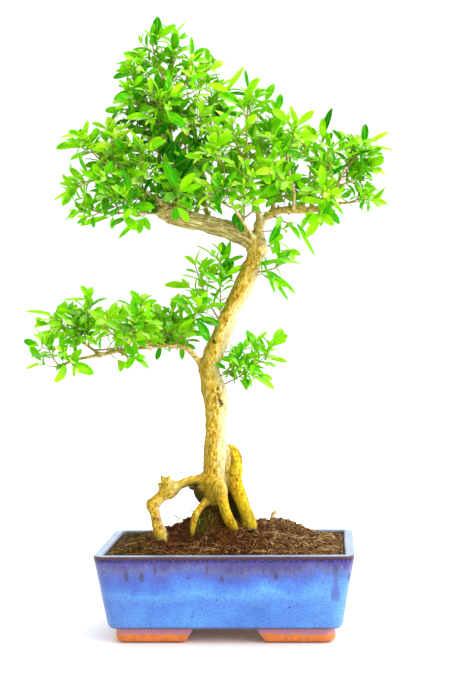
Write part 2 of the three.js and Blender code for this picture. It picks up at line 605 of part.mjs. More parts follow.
// Where the twig, the side twigs and the leaves of one shoot go, clear of everything placed before it.
function planShoot(seed, { root, radius }, tip, placed) {
  const others = [...placed];
  const buried = Math.max((radius + 3) / root.distanceTo(tip), 0.35);
  const curve = firstClear(TWIG_SWINGS, (bend) => {
    const whole = twigCurve(root, tip, bend);
    const points = [buried, (1 + buried) / 2, 1].map((share) => whole.getPoint(share).toArray());
    return { piece: whole, room: limb(points.map((point) => [...point, TWIG_RADIUS]), 5, GAP) };
  }, others);
  if (!curve) {
    throw new Error(`no clear way for shoot ${seed}`);
  }
  const line = twigLine(curve);
  const turn = chance(seed, DRAW.turn) * Math.PI;
  const blade = (draw, size = 1) => ({
    length: size * (LEAF_LENGTH + LEAF_LENGTH_SPREAD * (2 * chance(seed, draw) - 1)),
    roll: LEAF_ROLL * (2 * chance(seed, draw + 0.5) - 1),
  });
  const shares = curve.getLength() > LONG_TWIG ? LONG_TWIG_NODES : TWIG_NODES;
  const twiglets = curve.getLength() > SHORT_TWIG ? 2 : 1;

  const nodes = shares.map((share, i) => {
    const place = line(share);
    const nodeTurn = turn + (i % 2) * (Math.PI / 2);
    const length = TWIGLET_LENGTH + TWIGLET_LENGTH_SPREAD * chance(seed, DRAW.twiglet + i);
    const twiglet = i >= twiglets ? null : firstClear(TWIGLET_SWINGS, (swing) => {
      const sideTurn = nodeTurn + Math.PI / 2 + i * Math.PI + swing;
      const { direction, face } = leafAt(place, sideTurn, TWIGLET_ANGLE, { length, roll: 0 });
      const rows = twigletRows(place.point, direction, length);
      return { piece: { direction, face, length }, room: limb(rows, 4, GAP) };
    }, others);
    return { share, place, turn: nodeTurn, flip: i % 2, twiglet };
  });
  for (const [i, node] of nodes.entries()) {
    const angle = LEAF_ANGLE - LEAF_ANGLE_CLOSING * node.share;
    const blades = [blade(DRAW.right + i), blade(DRAW.left + i)];
    node.pair = planPair(node.place, node.turn, angle, blades, others);
    if (node.twiglet) {
      const { direction, face, length } = node.twiglet;
      const end = node.place.point.clone().addScaledVector(direction, length - NODE_LENGTH);
      const place = { point: end, along: direction, side: face.clone().cross(direction), upper: face };
      const ends = [blade(DRAW.twigletRight + i), blade(DRAW.twigletLeft + i)];
      node.twiglet.place = place;
      node.twiglet.pair = planPair(place, 0, TWIGLET_LEAF_ANGLE, ends, others);
    }
  }
  const endPlace = line(1 - NODE_LENGTH / curve.getLength());
  const endTurn = turn + (shares.length % 2) * (Math.PI / 2);
  const endBlades = [blade(DRAW.endRight, END_LEAF_SIZE), blade(DRAW.endLeft, END_LEAF_SIZE)];
  const endPair = planPair(endPlace, endTurn, END_LEAF_ANGLE, endBlades, others);
  return { curve, line, turn, nodes, endPair };
}

// The skin of one shoot: rings of four corners along each twig, whose faces leaves and side twigs grow from.
class Skin {
  points = [];
  triangles = [];

  ring(corners) {
    this.points.push(...corners);
    return corners.map((_, i) => this.points.length - corners.length + i);
  }

  twigRing({ point, side, upper }, turn, radius) {
    return this.ring([0, 1, 2, 3].map((corner) => {
      const out = outwards({ side, upper }, turn + (corner - 0.5) * (Math.PI / 2));
      return point.clone().addScaledVector(out, radius);
    }));
  }

  // Four faces between two rings. A face that has a sprout is left open for it.
  band(lower, upper, sprouts = {}) {
    for (let face = 0; face < 4; face++) {
      const next = (face + 1) % 4;
      const corners = [lower[face], lower[next], upper[next], upper[face]];
      if (sprouts[face]) {
        sprouts[face](corners);
      } else {
        this.triangles.push(corners[0], corners[1], corners[2], corners[0], corners[2], corners[3]);
      }
    }
  }

  // Where the points of a loop lie round an axis, as directions from the loop's middle.
  bearings(loop, axis) {
    const points = loop.map((i) => this.points[i]);
    const middle = points.reduce((sum, p) => sum.add(p), new THREE.Vector3()).divideScalar(points.length);
    return points.map((p) => p.clone().sub(middle).projectOnPlane(axis).normalize());
  }

  // The skin between two loops that turn the same way round an axis, joined with as little twist as can be.
  bridge(from, to, axis) {
    const below = this.bearings(from, axis);
    const above = this.bearings(to, axis);
    const gap = (i, j) => below[i % from.length].distanceTo(above[j % to.length]);
    let best = { twist: Infinity };
    for (let start = 0; start < to.length; start++) {
      const triangles = [];
      let twist = 0;
      let i = 0;
      let j = start;
      while (i < from.length || j < start + to.length) {
        const a = from[i % from.length];
        const b = to[j % to.length];
        if (j === start + to.length || (i < from.length && gap(i + 1, j) < gap(i, j + 1))) {
          i += 1;
          triangles.push(a, from[i % from.length], b);
        } else {
          j += 1;
          triangles.push(a, to[j % to.length], b);
        }
        twist += gap(i, j);
      }
      if (twist < best.twist) {
        best = { twist, triangles };
      }
    }
    this.triangles.push(...best.triangles);
  }

  // A leaf that grows out of four corners of a twig.
  leaf(corners, plan) {
    const { sections, tip } = leafSections(plan, LEAF_SHARES);
    const [first, second] = sections.map((section) => this.ring(section));
    this.bridge(corners, first, plan.direction);
    const [end] = this.ring([tip]);
    for (let j = 0; j < 3; j++) {
      const next = (j + 1) % 3;
      this.triangles.push(first[j], first[next], second[next], first[j], second[next], second[j]);
      this.triangles.push(second[j], second[next], end);
    }
  }

  // The sprouts of a pair of leaves on two opposite faces.
  pairSprouts(pair, firstFace) {
    const sprouts = {};
    pair.forEach((plan, i) => {
      if (plan) {
        sprouts[(firstFace + 2 * i) % 4] = (corners) => this.leaf(corners, plan);
      }
    });
    return sprouts;
  }

  // A straight side twig that grows out of four corners, with a pair of leaves at its end.
  twiglet(corners, { place, pair }) {
    const turn = -Math.PI / 2;
    const end = { ...place, point: place.point.clone().addScaledVector(place.along, NODE_LENGTH) };
    const lower = this.twigRing(place, turn, TWIGLET_RADIUS);
    const upper = this.twigRing(end, turn, TWIGLET_RADIUS);
    this.band(corners, lower);
    this.band(lower, upper, this.pairSprouts(pair, 1));
    this.cap(upper);
  }

  cap([a, b, c, d]) {
    this.triangles.push(a, b, c, a, c, d);
  }
}

// One leafy shoot in one body: a twig, side twigs, and opposite leaves with the last pair at each tip.
function makeShoot({ curve, line, turn, nodes, endPair }) {
  const skin = new Skin();
  const nodeShare = NODE_LENGTH / curve.getLength();
  const radiusAt = (share) => TWIG_RADIUS + (TWIG_TIP_RADIUS - TWIG_RADIUS) * share;
  const ringAt = (share) => skin.twigRing(line(share), turn, radiusAt(share));

  let below = ringAt(0);
  skin.cap([...below].reverse());
  for (const { share, pair, flip, twiglet } of nodes) {
    const lower = ringAt(share - nodeShare / 2);
    const upper = ringAt(share + nodeShare / 2);
    const sprouts = skin.pairSprouts(pair, flip);
    if (twiglet) {
      const face = (3 * flip + 1) % 4;
      sprouts[face] = (corners) => skin.twiglet(corners, twiglet);
    }
    skin.band(below, lower);
    skin.band(lower, upper, sprouts);
    below = upper;
  }
  const lower = ringAt(1 - nodeShare);
  const upper = ringAt(1);
  skin.band(below, lower);
  skin.band(lower, upper, skin.pairSprouts(endPair, nodes.length % 2));
  skin.cap(upper);
  return solidOf(skin.points, skin.triangles);
}

// Assembly
const parts = new THREE.Group();
const tree = makeTree();
const treeRoom = makeTree(GAP);
const soil = makeSoil(treeRoom);
parts.add(meshOf('pot', makePot(), glaze));
parts.add(meshOf('drain_net_left', makeNet(-DRAIN_X), netting));
parts.add(meshOf('drain_net_right', makeNet(DRAIN_X), netting));
parts.add(meshOf('soil', soil, earth));
parts.add(meshOf('tree', tree, bark));

const placed = [treeRoom, soil].map(boxed);
let seed = 0;
for (const [region, rows] of Object.entries(SHOOTS)) {
  rows.forEach(([limbName, share, tip], i) => {
    seed += 1;
    const seat = placeAlong(LIMBS[limbName], share);
    const plan = planShoot(seed, seat, vector(tip), placed);
    const shoot = largestBody(makeShoot(plan).subtract(treeRoom));
    placed.push(boxed(shoot));
    parts.add(meshOf(`shoot_${region}_${i + 1}`, shoot, leafGreen));
  });
}

// The origin is at the middle of the bottom of the whole part.
const bounds = new THREE.Box3().setFromObject(parts);
parts.position.set(-(bounds.min.x + bounds.max.x) / 2, -(bounds.min.y + bounds.max.y) / 2, -bounds.min.z);
const bonsai = new THREE.Group();
bonsai.add(parts);

export default bonsai;
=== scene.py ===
# %% [markdown]
# # A serissa bonsai in its glazed pot
#
# The tree is about half a metre tall. It has a bare curved trunk on raised roots, tufts of narrow leaves,
# and a blue glazed pot on four corner feet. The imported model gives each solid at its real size. This
# lesson dresses them: each surface is a formula worked out on whole numpy arrays, and each finish is a
# set of shader nodes that read the surface's own coordinates, so that both hold from every side.

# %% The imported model
import itertools
import math

import bpy
import numpy as np
from mathutils import Matrix, Vector


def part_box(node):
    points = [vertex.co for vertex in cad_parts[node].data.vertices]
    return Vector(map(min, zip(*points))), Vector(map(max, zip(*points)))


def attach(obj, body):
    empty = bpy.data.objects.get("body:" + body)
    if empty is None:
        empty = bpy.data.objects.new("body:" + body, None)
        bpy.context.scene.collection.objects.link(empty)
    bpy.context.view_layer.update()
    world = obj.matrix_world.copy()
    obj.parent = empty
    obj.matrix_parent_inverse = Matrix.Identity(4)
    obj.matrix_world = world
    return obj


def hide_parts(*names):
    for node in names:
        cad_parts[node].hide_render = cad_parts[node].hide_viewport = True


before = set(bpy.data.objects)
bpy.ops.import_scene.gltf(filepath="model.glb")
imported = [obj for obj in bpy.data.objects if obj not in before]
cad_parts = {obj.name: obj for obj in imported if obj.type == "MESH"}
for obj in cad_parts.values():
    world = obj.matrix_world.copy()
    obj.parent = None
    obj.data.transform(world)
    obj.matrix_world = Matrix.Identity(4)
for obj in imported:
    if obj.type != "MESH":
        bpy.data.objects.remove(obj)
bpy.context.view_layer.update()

# %% [markdown]
# ## Units and places
#
# Everything here is thought out in millimetres from the middle of the pot's underside, where the table is
# z = 0 and the front of the pot faces -Y. One function turns such points into the model's metres. The
# model's origin lies under the middle of the whole tree, so the pot's own box says where its middle is.

# %% Millimetres from the pot to metres in the model
MM = 0.001
pot_low, pot_high = (np.array(corner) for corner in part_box("pot"))
POT_MIDDLE = np.array([*((pot_low + pot_high) / 2)[:2], pot_low[2]])


def placed(points):
    """Millimetres from the pot's middle, as the model's metres: times 0.001, plus the middle."""
    return np.asarray(points, float) * MM + POT_MIDDLE


def unit(vectors):
    """Vectors of length one. One that has no length stays as it is."""
    return vectors / np.maximum(np.linalg.norm(vectors, axis=-1, keepdims=True), 1e-9)


print("middle of the pot", np.round(POT_MIDDLE, 4))

# %% [markdown]
# ## Repeatable chance
#
# A plant needs randomness, but the same one in every run. Two hashes give it: one names a draw by a seed
# and a number, for the leaves, and one gives each corner of a lattice a value. Blending those values
# smoothly between corners makes the noise that roughens bark, soil and glaze.


# %% Seeded chance and smooth noise
def chance(seed, draw):
    """A number from 0 to 1: the fraction of a large sine of the seed and the draw."""
    value = np.sin(seed * 12.9898 + draw * 78.233) * 43758.5453
    return value - np.floor(value)


def lattice(cell, seed):
    """A value from -1 to 1 for each whole-number corner, by multiplying and folding its bits."""
    mixed = (cell[:, 0] * 73856093) ^ (cell[:, 1] * 19349663) ^ (cell[:, 2] * 83492791) ^ (seed * 2654435761)
    mixed = ((mixed ^ (mixed >> 13)) * 1274126177) & 0x7FFFFFFF
    return ((mixed ^ (mixed >> 15)) & 0xFFFF) / 32767.5 - 1


def noise(points, seed=0):
    """Smooth noise from -1 to 1: the eight corners' values, weighted by 3t² - 2t³ along each axis."""
    cell = np.floor(points).astype(np.int64)
    t = points - cell
    t = t * t * (3 - 2 * t)
    total = np.zeros(len(points))
    for corner in itertools.product((0, 1), repeat=3):
        weight = np.prod(np.where(corner, t, 1 - t), axis=1)
        total += weight * lattice(cell + np.array(corner), seed)
    return total


print("noise spread", round(float(noise(np.random.default_rng(1).random((999, 3)) * 50).std()), 3))

# %% [markdown]
# ## From arrays to pieces
#
# A surface arrives as points and faces. These helpers make the mesh, keep a texture map and any values
# that the finish reads, and say which solids of the model the new piece stands for. Smooth shading hides
# the facets, and edges marked sharp, as round a leaf, keep their crease.


# %% A mesh piece from arrays
def facing_out(points, faces):
    """Turns all faces round if the volume they enclose, a sum of thin pyramids, is negative."""
    volume = 0
    for block in faces:
        corners = np.asarray(points)[block]
        for i in range(1, block.shape[1] - 1):
            volume += np.einsum("ij,ij->", corners[:, 0], np.cross(corners[:, i], corners[:, i + 1]))
    return [block[:, ::-1] for block in faces] if volume < 0 else faces


def linked(name, data):
    """A new object in the scene that holds a mesh, a light or a camera."""
    thing = bpy.data.objects.new(name, data)
    bpy.context.scene.collection.objects.link(thing)
    return thing


def new_solid(name, points, faces, finishes=(), finish_of_face=0):
    """An object from points in millimetres. Faces is a list of arrays, a row of point numbers to a face."""
    mesh = bpy.data.meshes.new(name)
    rows = [row for block in facing_out(points, faces) for row in block.tolist()]
    mesh.from_pydata(placed(points), [], rows)
    for finish in finishes:
        mesh.materials.append(finish)
    mesh.shade_smooth()
    index = np.broadcast_to(finish_of_face, len(mesh.polygons)).astype(np.int32)
    mesh.polygons.foreach_set("material_index", index)
    return linked(name, mesh)


def give(mesh, label, value):
    """Keeps a value for each point, under a name that a finish can read."""
    kind, field = ("FLOAT", "value") if value.ndim == 1 else ("FLOAT_VECTOR", "vector")
    mesh.attributes.new(label, kind, "POINT").data.foreach_set(field, value.astype(np.float32).ravel())


def settle(piece, stands_for=()):
    """Every piece rides on the one body and may stand for solids of the model."""
    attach(piece, "root")
    if stands_for:
        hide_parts(*stands_for)


def make_piece(name, points, faces, finishes, stands_for=(), tone=None, uv=None, finish_of_face=0,
               sharp=None):
    """A settled piece. Tone, uv and sharp are for each point. Edges between sharp points are creases."""
    piece = new_solid(name, points, faces, finishes, finish_of_face)
    mesh = piece.data
    if tone is not None:
        give(mesh, "tone", tone)
    if uv is not None:
        corners = np.zeros(len(mesh.loops), np.int32)
        mesh.loops.foreach_get("vertex_index", corners)
        mesh.uv_layers.new(name="UVMap").data.foreach_set("uv", uv[corners].astype(np.float32).ravel())
    if sharp is not None:
        ends = np.zeros(2 * len(mesh.edges), np.int32)
        mesh.edges.foreach_get("vertices", ends)
        crease = sharp[ends].reshape(-1, 2).all(axis=1)
        mesh.attributes.new("sharp_edge", "BOOLEAN", "EDGE").data.foreach_set("value", crease)
    settle(piece, stands_for)
    return piece


def with_modifier(piece, kind, **settings):
    """Applies one modifier, so that the mesh itself holds its result."""
    modifier = piece.modifiers.new(kind.lower(), kind)
    for setting, value in settings.items():
        setattr(modifier, setting, value)
    bpy.context.view_layer.update()
    result = bpy.data.meshes.new_from_object(piece.evaluated_get(bpy.context.evaluated_depsgraph_get()))
    piece.modifiers.clear()
    piece.data = result


def grid_faces(rows, columns, wrap=True):
    """Faces with four corners over rows by columns of points. Wrap joins the last column to the first."""
    across = columns if wrap else columns - 1
    row, column = np.meshgrid(np.arange(rows - 1), np.arange(across), indexing="ij")
    right = (column + 1) % columns
    corners = [row * columns + column, row * columns + right, (row + 1) * columns + right,
               (row + 1) * columns + column]
    return np.stack(corners, axis=-1).reshape(-1, 4)


def closed_faces(rows, columns):
    """A net, and a fan at each end round a middle point. The two middle points come last."""
    step, size = np.arange(columns), rows * columns
    after, last = (step + 1) % columns, size - columns
    return [grid_faces(rows, columns), np.column_stack([after, step, np.full(columns, size)]),
            np.column_stack([last + step, last + after, np.full(columns, size + 1)])]


print("helpers ready")

# %% [markdown]
# ## Shader helpers and shared effects
#
# A finish is a small graph of nodes. Here, what a node puts out is wrapped as a field, so that arithmetic on
# fields reads like plain arithmetic, and each step of it adds a node. Five effects serve more than one
# place, so each is a node group: millimetres from the pot's middle, patches of one colour in another, small
# round specks, thin cracks, and a fine grain that a bump node turns into relief. A scale of 0.5 means
# features about 2 mm wide on every piece.


# %% Fields: what shader nodes put out
def plug(socket, value):
    """Joins a field to a socket, or sets the socket's own value."""
    if isinstance(value, Field):
        socket.id_data.links.new(value.socket, socket)
    else:
        socket.default_value = value


def add(graph, kind, settings=(), numbered=(), output=0, **named):
    """One output of a new node, with its settings, and its sockets by number or by name."""
    node = graph.nodes.new("ShaderNode" + kind)
    for setting, value in dict(settings).items():
        setattr(node, setting, value)
    for number, value in dict(numbered).items():
        plug(node.inputs[number], value)
    for label, value in named.items():
        plug(node.inputs[label.replace("_", " ")], value)
    return Field(node.outputs[output])


def screen(red, green, blue):
    """A colour as it looks on a screen, from 0 to 255, as the light that shaders work in."""
    share = np.array([red, green, blue]) / 255
    light = np.where(share <= 0.04045, share / 12.92, ((share + 0.055) / 1.055) ** 2.4)
    return (*light.tolist(), 1.0)


class Field:
    """What a node puts out: a number, a vector or a colour for each point of a surface."""

    def __init__(self, socket):
        self.socket, self.graph = socket, socket.id_data

    def other(self, output):
        """Another output of the same node."""
        return Field(self.socket.node.outputs[output])

    def maths(self, operation, *others, clamp=False):
        """One step of arithmetic, with this field first."""
        settings = {"operation": operation, "use_clamp": clamp}
        return add(self.graph, "Math", settings, enumerate((self, *others)))

    def __add__(self, other):
        return self.maths("ADD", other)

    def __sub__(self, other):
        return self.maths("SUBTRACT", other)

    def __mul__(self, other):
        return self.maths("MULTIPLY", other)

    def __abs__(self):
        return self.maths("ABSOLUTE")

    def clamped(self):
        return self.maths("ADD", 0, clamp=True)

    def step(self, low, high):
        """From 0 at low to 1 at high, with a smooth start and end. High may be the smaller one."""
        ends = enumerate((self, low, high, 0, 1))
        return add(self.graph, "MapRange", {"interpolation_type": "SMOOTHSTEP"}, ends)

    def axis(self, letter):
        return add(self.graph, "SeparateXYZ", output=letter, Vector=self)

    def with_vector(self, operation, vector, output=0):
        return add(self.graph, "VectorMath", {"operation": operation}, {0: self, 1: vector}, output)

    def stretched(self, *scale):
        """Coordinates times a scale for each axis."""
        return self.with_vector("MULTIPLY", scale)

    def rough(self, scale, detail=3, roughness=0.55, distortion=0):
        """Blender's own noise at these coordinates, as a number round 0.5."""
        return add(self.graph, "TexNoise", Vector=self, Scale=scale, Detail=detail, Roughness=roughness,
                   Distortion=distortion)

    def mixed(self, share, other, blend="MIX"):
        """This colour and another, mixed by a share."""
        settings = {"data_type": "RGBA", "blend_type": blend, "clamp_factor": True}
        return add(self.graph, "Mix", settings, {0: share, 6: self, 7: other}, 2)

    def ramp(self, *stops):
        """A straight ramp of screen colours along this share. A stop is (place, red, green, blue)."""
        colour = add(self.graph, "ValToRGB", Fac=self)
        points = colour.socket.node.color_ramp.elements
        while len(points) < len(stops):
            points.new(0.5)
        for point, (place, *shown) in zip(points, stops):
            point.position = place
            point.color = screen(*shown)
        return colour


# %% The shared effects, as node groups
# The sockets that carry a colour. One called Vector carries a place, and all others a number.
COLOURS = ("First", "Second", "Colour")


def new_group(name, inputs, outputs):
    """An empty node group, with its inputs as fields, and the sockets that take its results."""
    group = bpy.data.node_groups.new(name, "ShaderNodeTree")
    for way, labels in (("INPUT", inputs), ("OUTPUT", outputs)):
        for label in labels:
            kind = "Vector" if label == "Vector" else "Color" if label in COLOURS else "Float"
            group.interface.new_socket(label, in_out=way, socket_type="NodeSocket" + kind)
    given = group.nodes.new("NodeGroupInput").outputs
    return group, [Field(given[label]) for label in inputs], group.nodes.new("NodeGroupOutput").inputs


def make_pot_millimetres():
    """Millimetres from the pot's middle: the object's own coordinates, less the middle, times 1000."""
    group, _, result = new_group("pot_millimetres", (), ("Vector",))
    centred = add(group, "TexCoord", output="Object").with_vector("SUBTRACT", tuple(POT_MIDDLE))
    plug(result["Vector"], centred.stretched(1 / MM, 1 / MM, 1 / MM))
    return group


def make_patches():
    """Patches: noise pushed apart round its middle by a contrast, mixing one colour into another."""
    group, (place, scale, contrast, first, second), result = new_group(
        "patches", ("Vector", "Scale", "Contrast", "First", "Second"), ("Colour", "Mask"))
    mask = ((place.rough(scale, 4) - 0.5) * contrast + 0.5).clamped()
    plug(result["Colour"], first.mixed(mask, second))
    plug(result["Mask"], mask)
    return group


def make_specks():
    """Specks: the distance to the nearest of many scattered points is small only inside a speck."""
    group, (place, scale, size), result = new_group("specks", ("Vector", "Scale", "Size"), ("Mask",))
    away = add(group, "TexVoronoi", output="Distance", Vector=place, Scale=scale, Randomness=1)
    plug(result["Mask"], away.step(size * 1.6, size))
    return group


def make_cracks():
    """Cracks: thin lines where a bent noise crosses its middle value, broken up by a coarser noise."""
    group, (place, scale, width), result = new_group("cracks", ("Vector", "Scale", "Width"), ("Mask",))
    line = abs(place.rough(scale, 3, 0.6, 0.8) - 0.5).step(width, 0)
    plug(result["Mask"], line * place.rough(scale * 0.5, 2).step(0.42, 0.58))
    return group


def make_grain():
    """Grain: two layers of noise, the finer one at a third of the strength, as a height for a bump."""
    group, (place, scale), result = new_group("grain", ("Vector", "Scale"), ("Height",))
    plug(result["Height"], place.rough(scale, 5, 0.6) + place.rough(scale * 4, 3, 0.6) * 0.33)
    return group


POT_MM, PATCHES, SPECKS = make_pot_millimetres(), make_patches(), make_specks()
CRACKS, GRAIN = make_cracks(), make_grain()


# %% A finish, built up step by step
class Finish:
    """A material with one Principled shader. The fixed values are the same all over the surface, and place
    is in millimetres from the pot's middle."""

    def __init__(self, name, **fixed):
        self.material = bpy.data.materials.new(name)
        self.material.use_nodes = True
        self.graph = self.material.node_tree
        self.shader = next(n for n in self.graph.nodes if n.type == "BSDF_PRINCIPLED")
        self.join(**fixed)
        self.place = self.effect(POT_MM, "Vector")

    def join(self, **sockets):
        """Joins fields to the shader, or sets its own values."""
        for label, value in sockets.items():
            plug(self.shader.inputs[label.replace("_", " ")], value)

    def effect(self, group, output, **values):
        """A shared effect with its own values."""
        return add(self.graph, "Group", {"node_tree": group}, output=output, **values)

    def attribute(self, label, output="Fac"):
        """What each point of the mesh keeps under that name."""
        return add(self.graph, "Attribute", {"attribute_name": label}, output=output)

    def normal(self):
        return add(self.graph, "NewGeometry", output="Normal")

    def patches(self, scale, contrast, first, second):
        """Patches of two screen colours, as a colour and a mask."""
        colour = self.effect(PATCHES, "Colour", Vector=self.place, Scale=scale, Contrast=contrast,
                             First=screen(*first), Second=screen(*second))
        return colour, colour.other("Mask")

    def specks(self, place, scale, size):
        return self.effect(SPECKS, "Mask", Vector=place, Scale=scale, Size=size)

    def tint(self, share, *shown):
        """Mixes the colour so far towards a screen colour."""
        self.colour = self.colour.mixed(share, screen(*shown))

    def with_relief(self, roughness, height, strength, depth):
        """The material, with its colour, its roughness and a relief of a height. Depth is in metres."""
        bump = add(self.graph, "Bump", Height=height, Strength=strength, Distance=depth)
        self.join(Base_Color=self.colour, Roughness=roughness, Normal=bump)
        return self.material

    def with_grain(self, roughness, scale, strength, depth):
        """The same, with a grain of that scale as its relief."""
        height = self.effect(GRAIN, "Height", Vector=self.place, Scale=scale)
        return self.with_relief(roughness, height, strength, depth)


print("groups", [g.name for g in bpy.data.node_groups])

# %% [markdown]
# ## The pot's glaze
#
# The pot is stoneware. A runny blue glaze was poured over it and fired, so it thinned on the rim to brown,
# gathered below it in a dark violet band, and ran down in soft streaks that turn from lavender to sky
# blue. Painting that by hand would fit one side only. Here the colour is a ramp down the height of the
# wall, and noise that is long in the height and short across shifts the ramp, which makes the runs.

# %% Sizes of the pot
POT_WIDTH, POT_DEPTH, POT_HEIGHT = 200, 150, 69.5
WALL_TAPER, WALL = 10, 7.5
FOOT_HEIGHT, FLOOR = 11.5, 7
FLOOR_Z = FOOT_HEIGHT + FLOOR
FLOOR_ROUND = 3
CORNER, INNER_CORNER = 10, 2.5
EDGE_ROUND, RIM_ROUND = 4, 1.6
DRAIN_X, DRAIN_RADIUS = 45, 8
# One long drip runs down near the right corner: its middle, its half width and how far down it ends
LONG_DRIP_X, LONG_DRIP_WIDTH, LONG_DRIP_END = 85, 2.4, 38
# Measures from the rim down, in millimetres, are divided by this to find their place on the colour ramp
RAMP_LENGTH = 60


def make_glaze():
    """The glaze: a colour ramp down from the rim, shifted by streaks and runs, with specks and patches."""
    finish = Finish("blue_glaze", Coat_Roughness=0.06, Specular_IOR_Level=0.3)
    upright, across, level = finish.place, finish.place.axis("X"), finish.place.axis("Z")
    below_rim = level * -1 + POT_HEIGHT

    streaks = upright.stretched(1, 1, 0.12).rough(0.5)
    drips = upright.stretched(1, 1, 0.03).rough(0.3, 1)
    runs = upright.stretched(1, 1, 0.03).rough(0.07, 1)
    waves = upright.rough(0.03, 2)
    # Streaks and drips belong to the upper part, and the soft waves to the lower one. On the rim itself both
    # hold back, so that the brown line and the dark band stay level.
    lower = below_rim.step(8, 26)
    shift = (streaks - 0.5) * (lower * 12 - 15) + drips.step(0.62, 0.7) * (lower * 8 - 8)
    shift = shift - runs.step(0.64, 0.8) * 18 - (waves - 0.5) * 26
    beside = abs(across - LONG_DRIP_X) + streaks * 2.5 - below_rim.step(20, 31) * 2.2
    long_drip = beside.step(LONG_DRIP_WIDTH + 1.5, LONG_DRIP_WIDTH - 1)
    long_drip = long_drip * below_rim.step(LONG_DRIP_END, LONG_DRIP_END - 6)
    free = below_rim.step(3, 9)
    down = (shift - long_drip * 22) * free + below_rim
    # No drip is as dark as the rim and the band below it
    down = down.maths("MAXIMUM", below_rim.maths("MINIMUM", 5.8))
    finish.colour = (down * (1 / RAMP_LENGTH)).ramp(
        (0, 120, 66, 50), (0.03, 108, 50, 46), (0.044, 32, 14, 56), (0.075, 44, 26, 86),
        (0.102, 98, 88, 150), (0.18, 114, 120, 170), (0.26, 86, 118, 216), (0.4, 88, 158, 248),
        (0.5, 110, 192, 252), (0.62, 92, 158, 242), (1, 104, 178, 250))
    # Painted light: the right end of the wall is a brighter cyan. Painted shade: the left end is a darker
    # periwinkle.
    finish.tint(across.step(55, 96) * lower, 118, 190, 252)
    finish.tint(across.step(-55, -96) * lower * 0.55, 98, 130, 202)
    # The rim's top turns grey-blue and then pale blue-white: pale glaze there, with a painted reflection of
    # the bright surroundings.
    finish.tint(below_rim.step(0.9, 0.25), 108, 136, 166)
    finish.tint(below_rim.step(0.3, 0.08), 184, 216, 240)

    mottle, _ = finish.patches(0.03, 3.5, (226, 226, 226), (196, 194, 210))
    fine, fine_mask = finish.patches(1, 6, (255, 255, 255), (200, 206, 230))
    finish.colour = finish.colour.mixed(1, mottle, "MULTIPLY").mixed(1, fine, "MULTIPLY")
    # The band is flecked with a stronger violet
    band = below_rim.step(11, 4) * below_rim.step(2.4, 3.4)
    finish.tint(upright.rough(0.5, 2).step(0.46, 0.64) * band * 0.75, 68, 54, 170)
    finish.tint(long_drip * below_rim.step(8, 28) * 0.75, 70, 86, 168)
    finish.tint(finish.specks(upright, 0.5, 0.2) * (band * 0.4 + 0.35), 34, 34, 122)
    # The streaks end in dark beads, all about as far down
    beads = finish.specks(upright.stretched(1, 1, 0.35), 0.14, 0.19)
    finish.tint(below_rim.step(11, 14) * below_rim.step(22, 18) * beads, 54, 60, 104)
    pits = finish.specks(upright, 0.07, 0.05)
    finish.tint(pits * 0.7, 36, 30, 54)
    # The lower edge is darker, and bare clay shows under it
    finish.tint(level.step(FOOT_HEIGHT + 2.6, FOOT_HEIGHT + 0.9), 76, 54, 100)
    finish.tint(level.step(FOOT_HEIGHT + 0.5, FOOT_HEIGHT + 0.2), 196, 146, 118)
    finish.join(Coat_Weight=free * 0.25 + 0.15)
    return finish.with_grain(fine_mask * 0.12 + 0.2, 0.35, 0.35, 0.0006)


def make_inner_glaze():
    """The inside of the wall, where the glaze is thin and grey-brown over the clay."""
    finish = Finish("thin_glaze")
    finish.colour, mask = finish.patches(0.12, 3, (84, 84, 76), (60, 52, 62))
    # The rim's inner edge is pale: pale glaze, with a painted reflection of the bright surroundings.
    finish.tint(finish.place.axis("Z").step(POT_HEIGHT - 1.6, POT_HEIGHT - 0.4), 158, 188, 210)
    return finish.with_grain(mask * 0.2 + 0.3, 0.6, 0.3, 0.0004)


def make_foot_clay():
    """The feet: bare orange clay, with a breath of pinkish glaze on top and a darker, worn lower edge."""
    finish = Finish("foot_clay")
    level = finish.place.axis("Z")
    finish.colour, _ = finish.patches(0.25, 2.5, (222, 126, 56), (196, 106, 42))
    glazed = ((finish.place.rough(0.2) - 0.5) * 5 + level).step(6.4, 8.6)
    finish.tint(glazed, 164, 112, 132)
    finish.tint(level.step(1.8, 0.2), 122, 60, 28)
    return finish.with_grain(glazed * -0.4 + 0.75, 1.2, 0.5, 0.0003)


GLAZE, THIN_GLAZE, FOOT_CLAY = make_glaze(), make_inner_glaze(), make_foot_clay()
print("glaze and clay ready")

# %% [markdown]
# ## The pot's body
#
# The body is one profile carried round a rectangle with round corners: under the floor, up the tapered
# wall, over the soft rim and down the inside to the inner floor. A profile lets each edge have its own
# roundness, and the many points along each side let the fired wall waver a little, as a real one does.

# %% The walls and floor
SIDE_STEPS, CORNER_STEPS = 40, 10


def rounded_rectangle(half_width, half_depth, radius):
    """Points anticlockwise round a rectangle: a quarter circle at each corner, then a straight side."""
    quarter = np.linspace(0, np.pi / 2, CORNER_STEPS + 1)
    side = np.linspace(0, 1, SIDE_STEPS + 1)[1:-1, None]
    loop = []
    for turn, (sx, sy) in enumerate(((1, 1), (-1, 1), (-1, -1), (1, -1))):
        angle = quarter + turn * np.pi / 2
        centre = np.array([sx * (half_width - radius), sy * (half_depth - radius)])
        loop.append(centre + radius * np.stack([np.cos(angle), np.sin(angle)], axis=1))
    straight = [a[-1] + side * (b[0] - a[-1]) for a, b in zip(loop, loop[1:] + loop[:1])]
    return np.concatenate([part for pair in zip(loop, straight) for part in pair])


def wall_loop(z, inside):
    """A level loop that far inside the wall's outer face, which draws in evenly from rim to foot."""
    inset = WALL_TAPER * (POT_HEIGHT - z) / (POT_HEIGHT - FOOT_HEIGHT) + inside
    radius = max(CORNER - inside, INNER_CORNER)
    loop = rounded_rectangle(POT_WIDTH / 2 - inset, POT_DEPTH / 2 - inset, radius)
    return np.column_stack([loop, np.full(len(loop), z)])


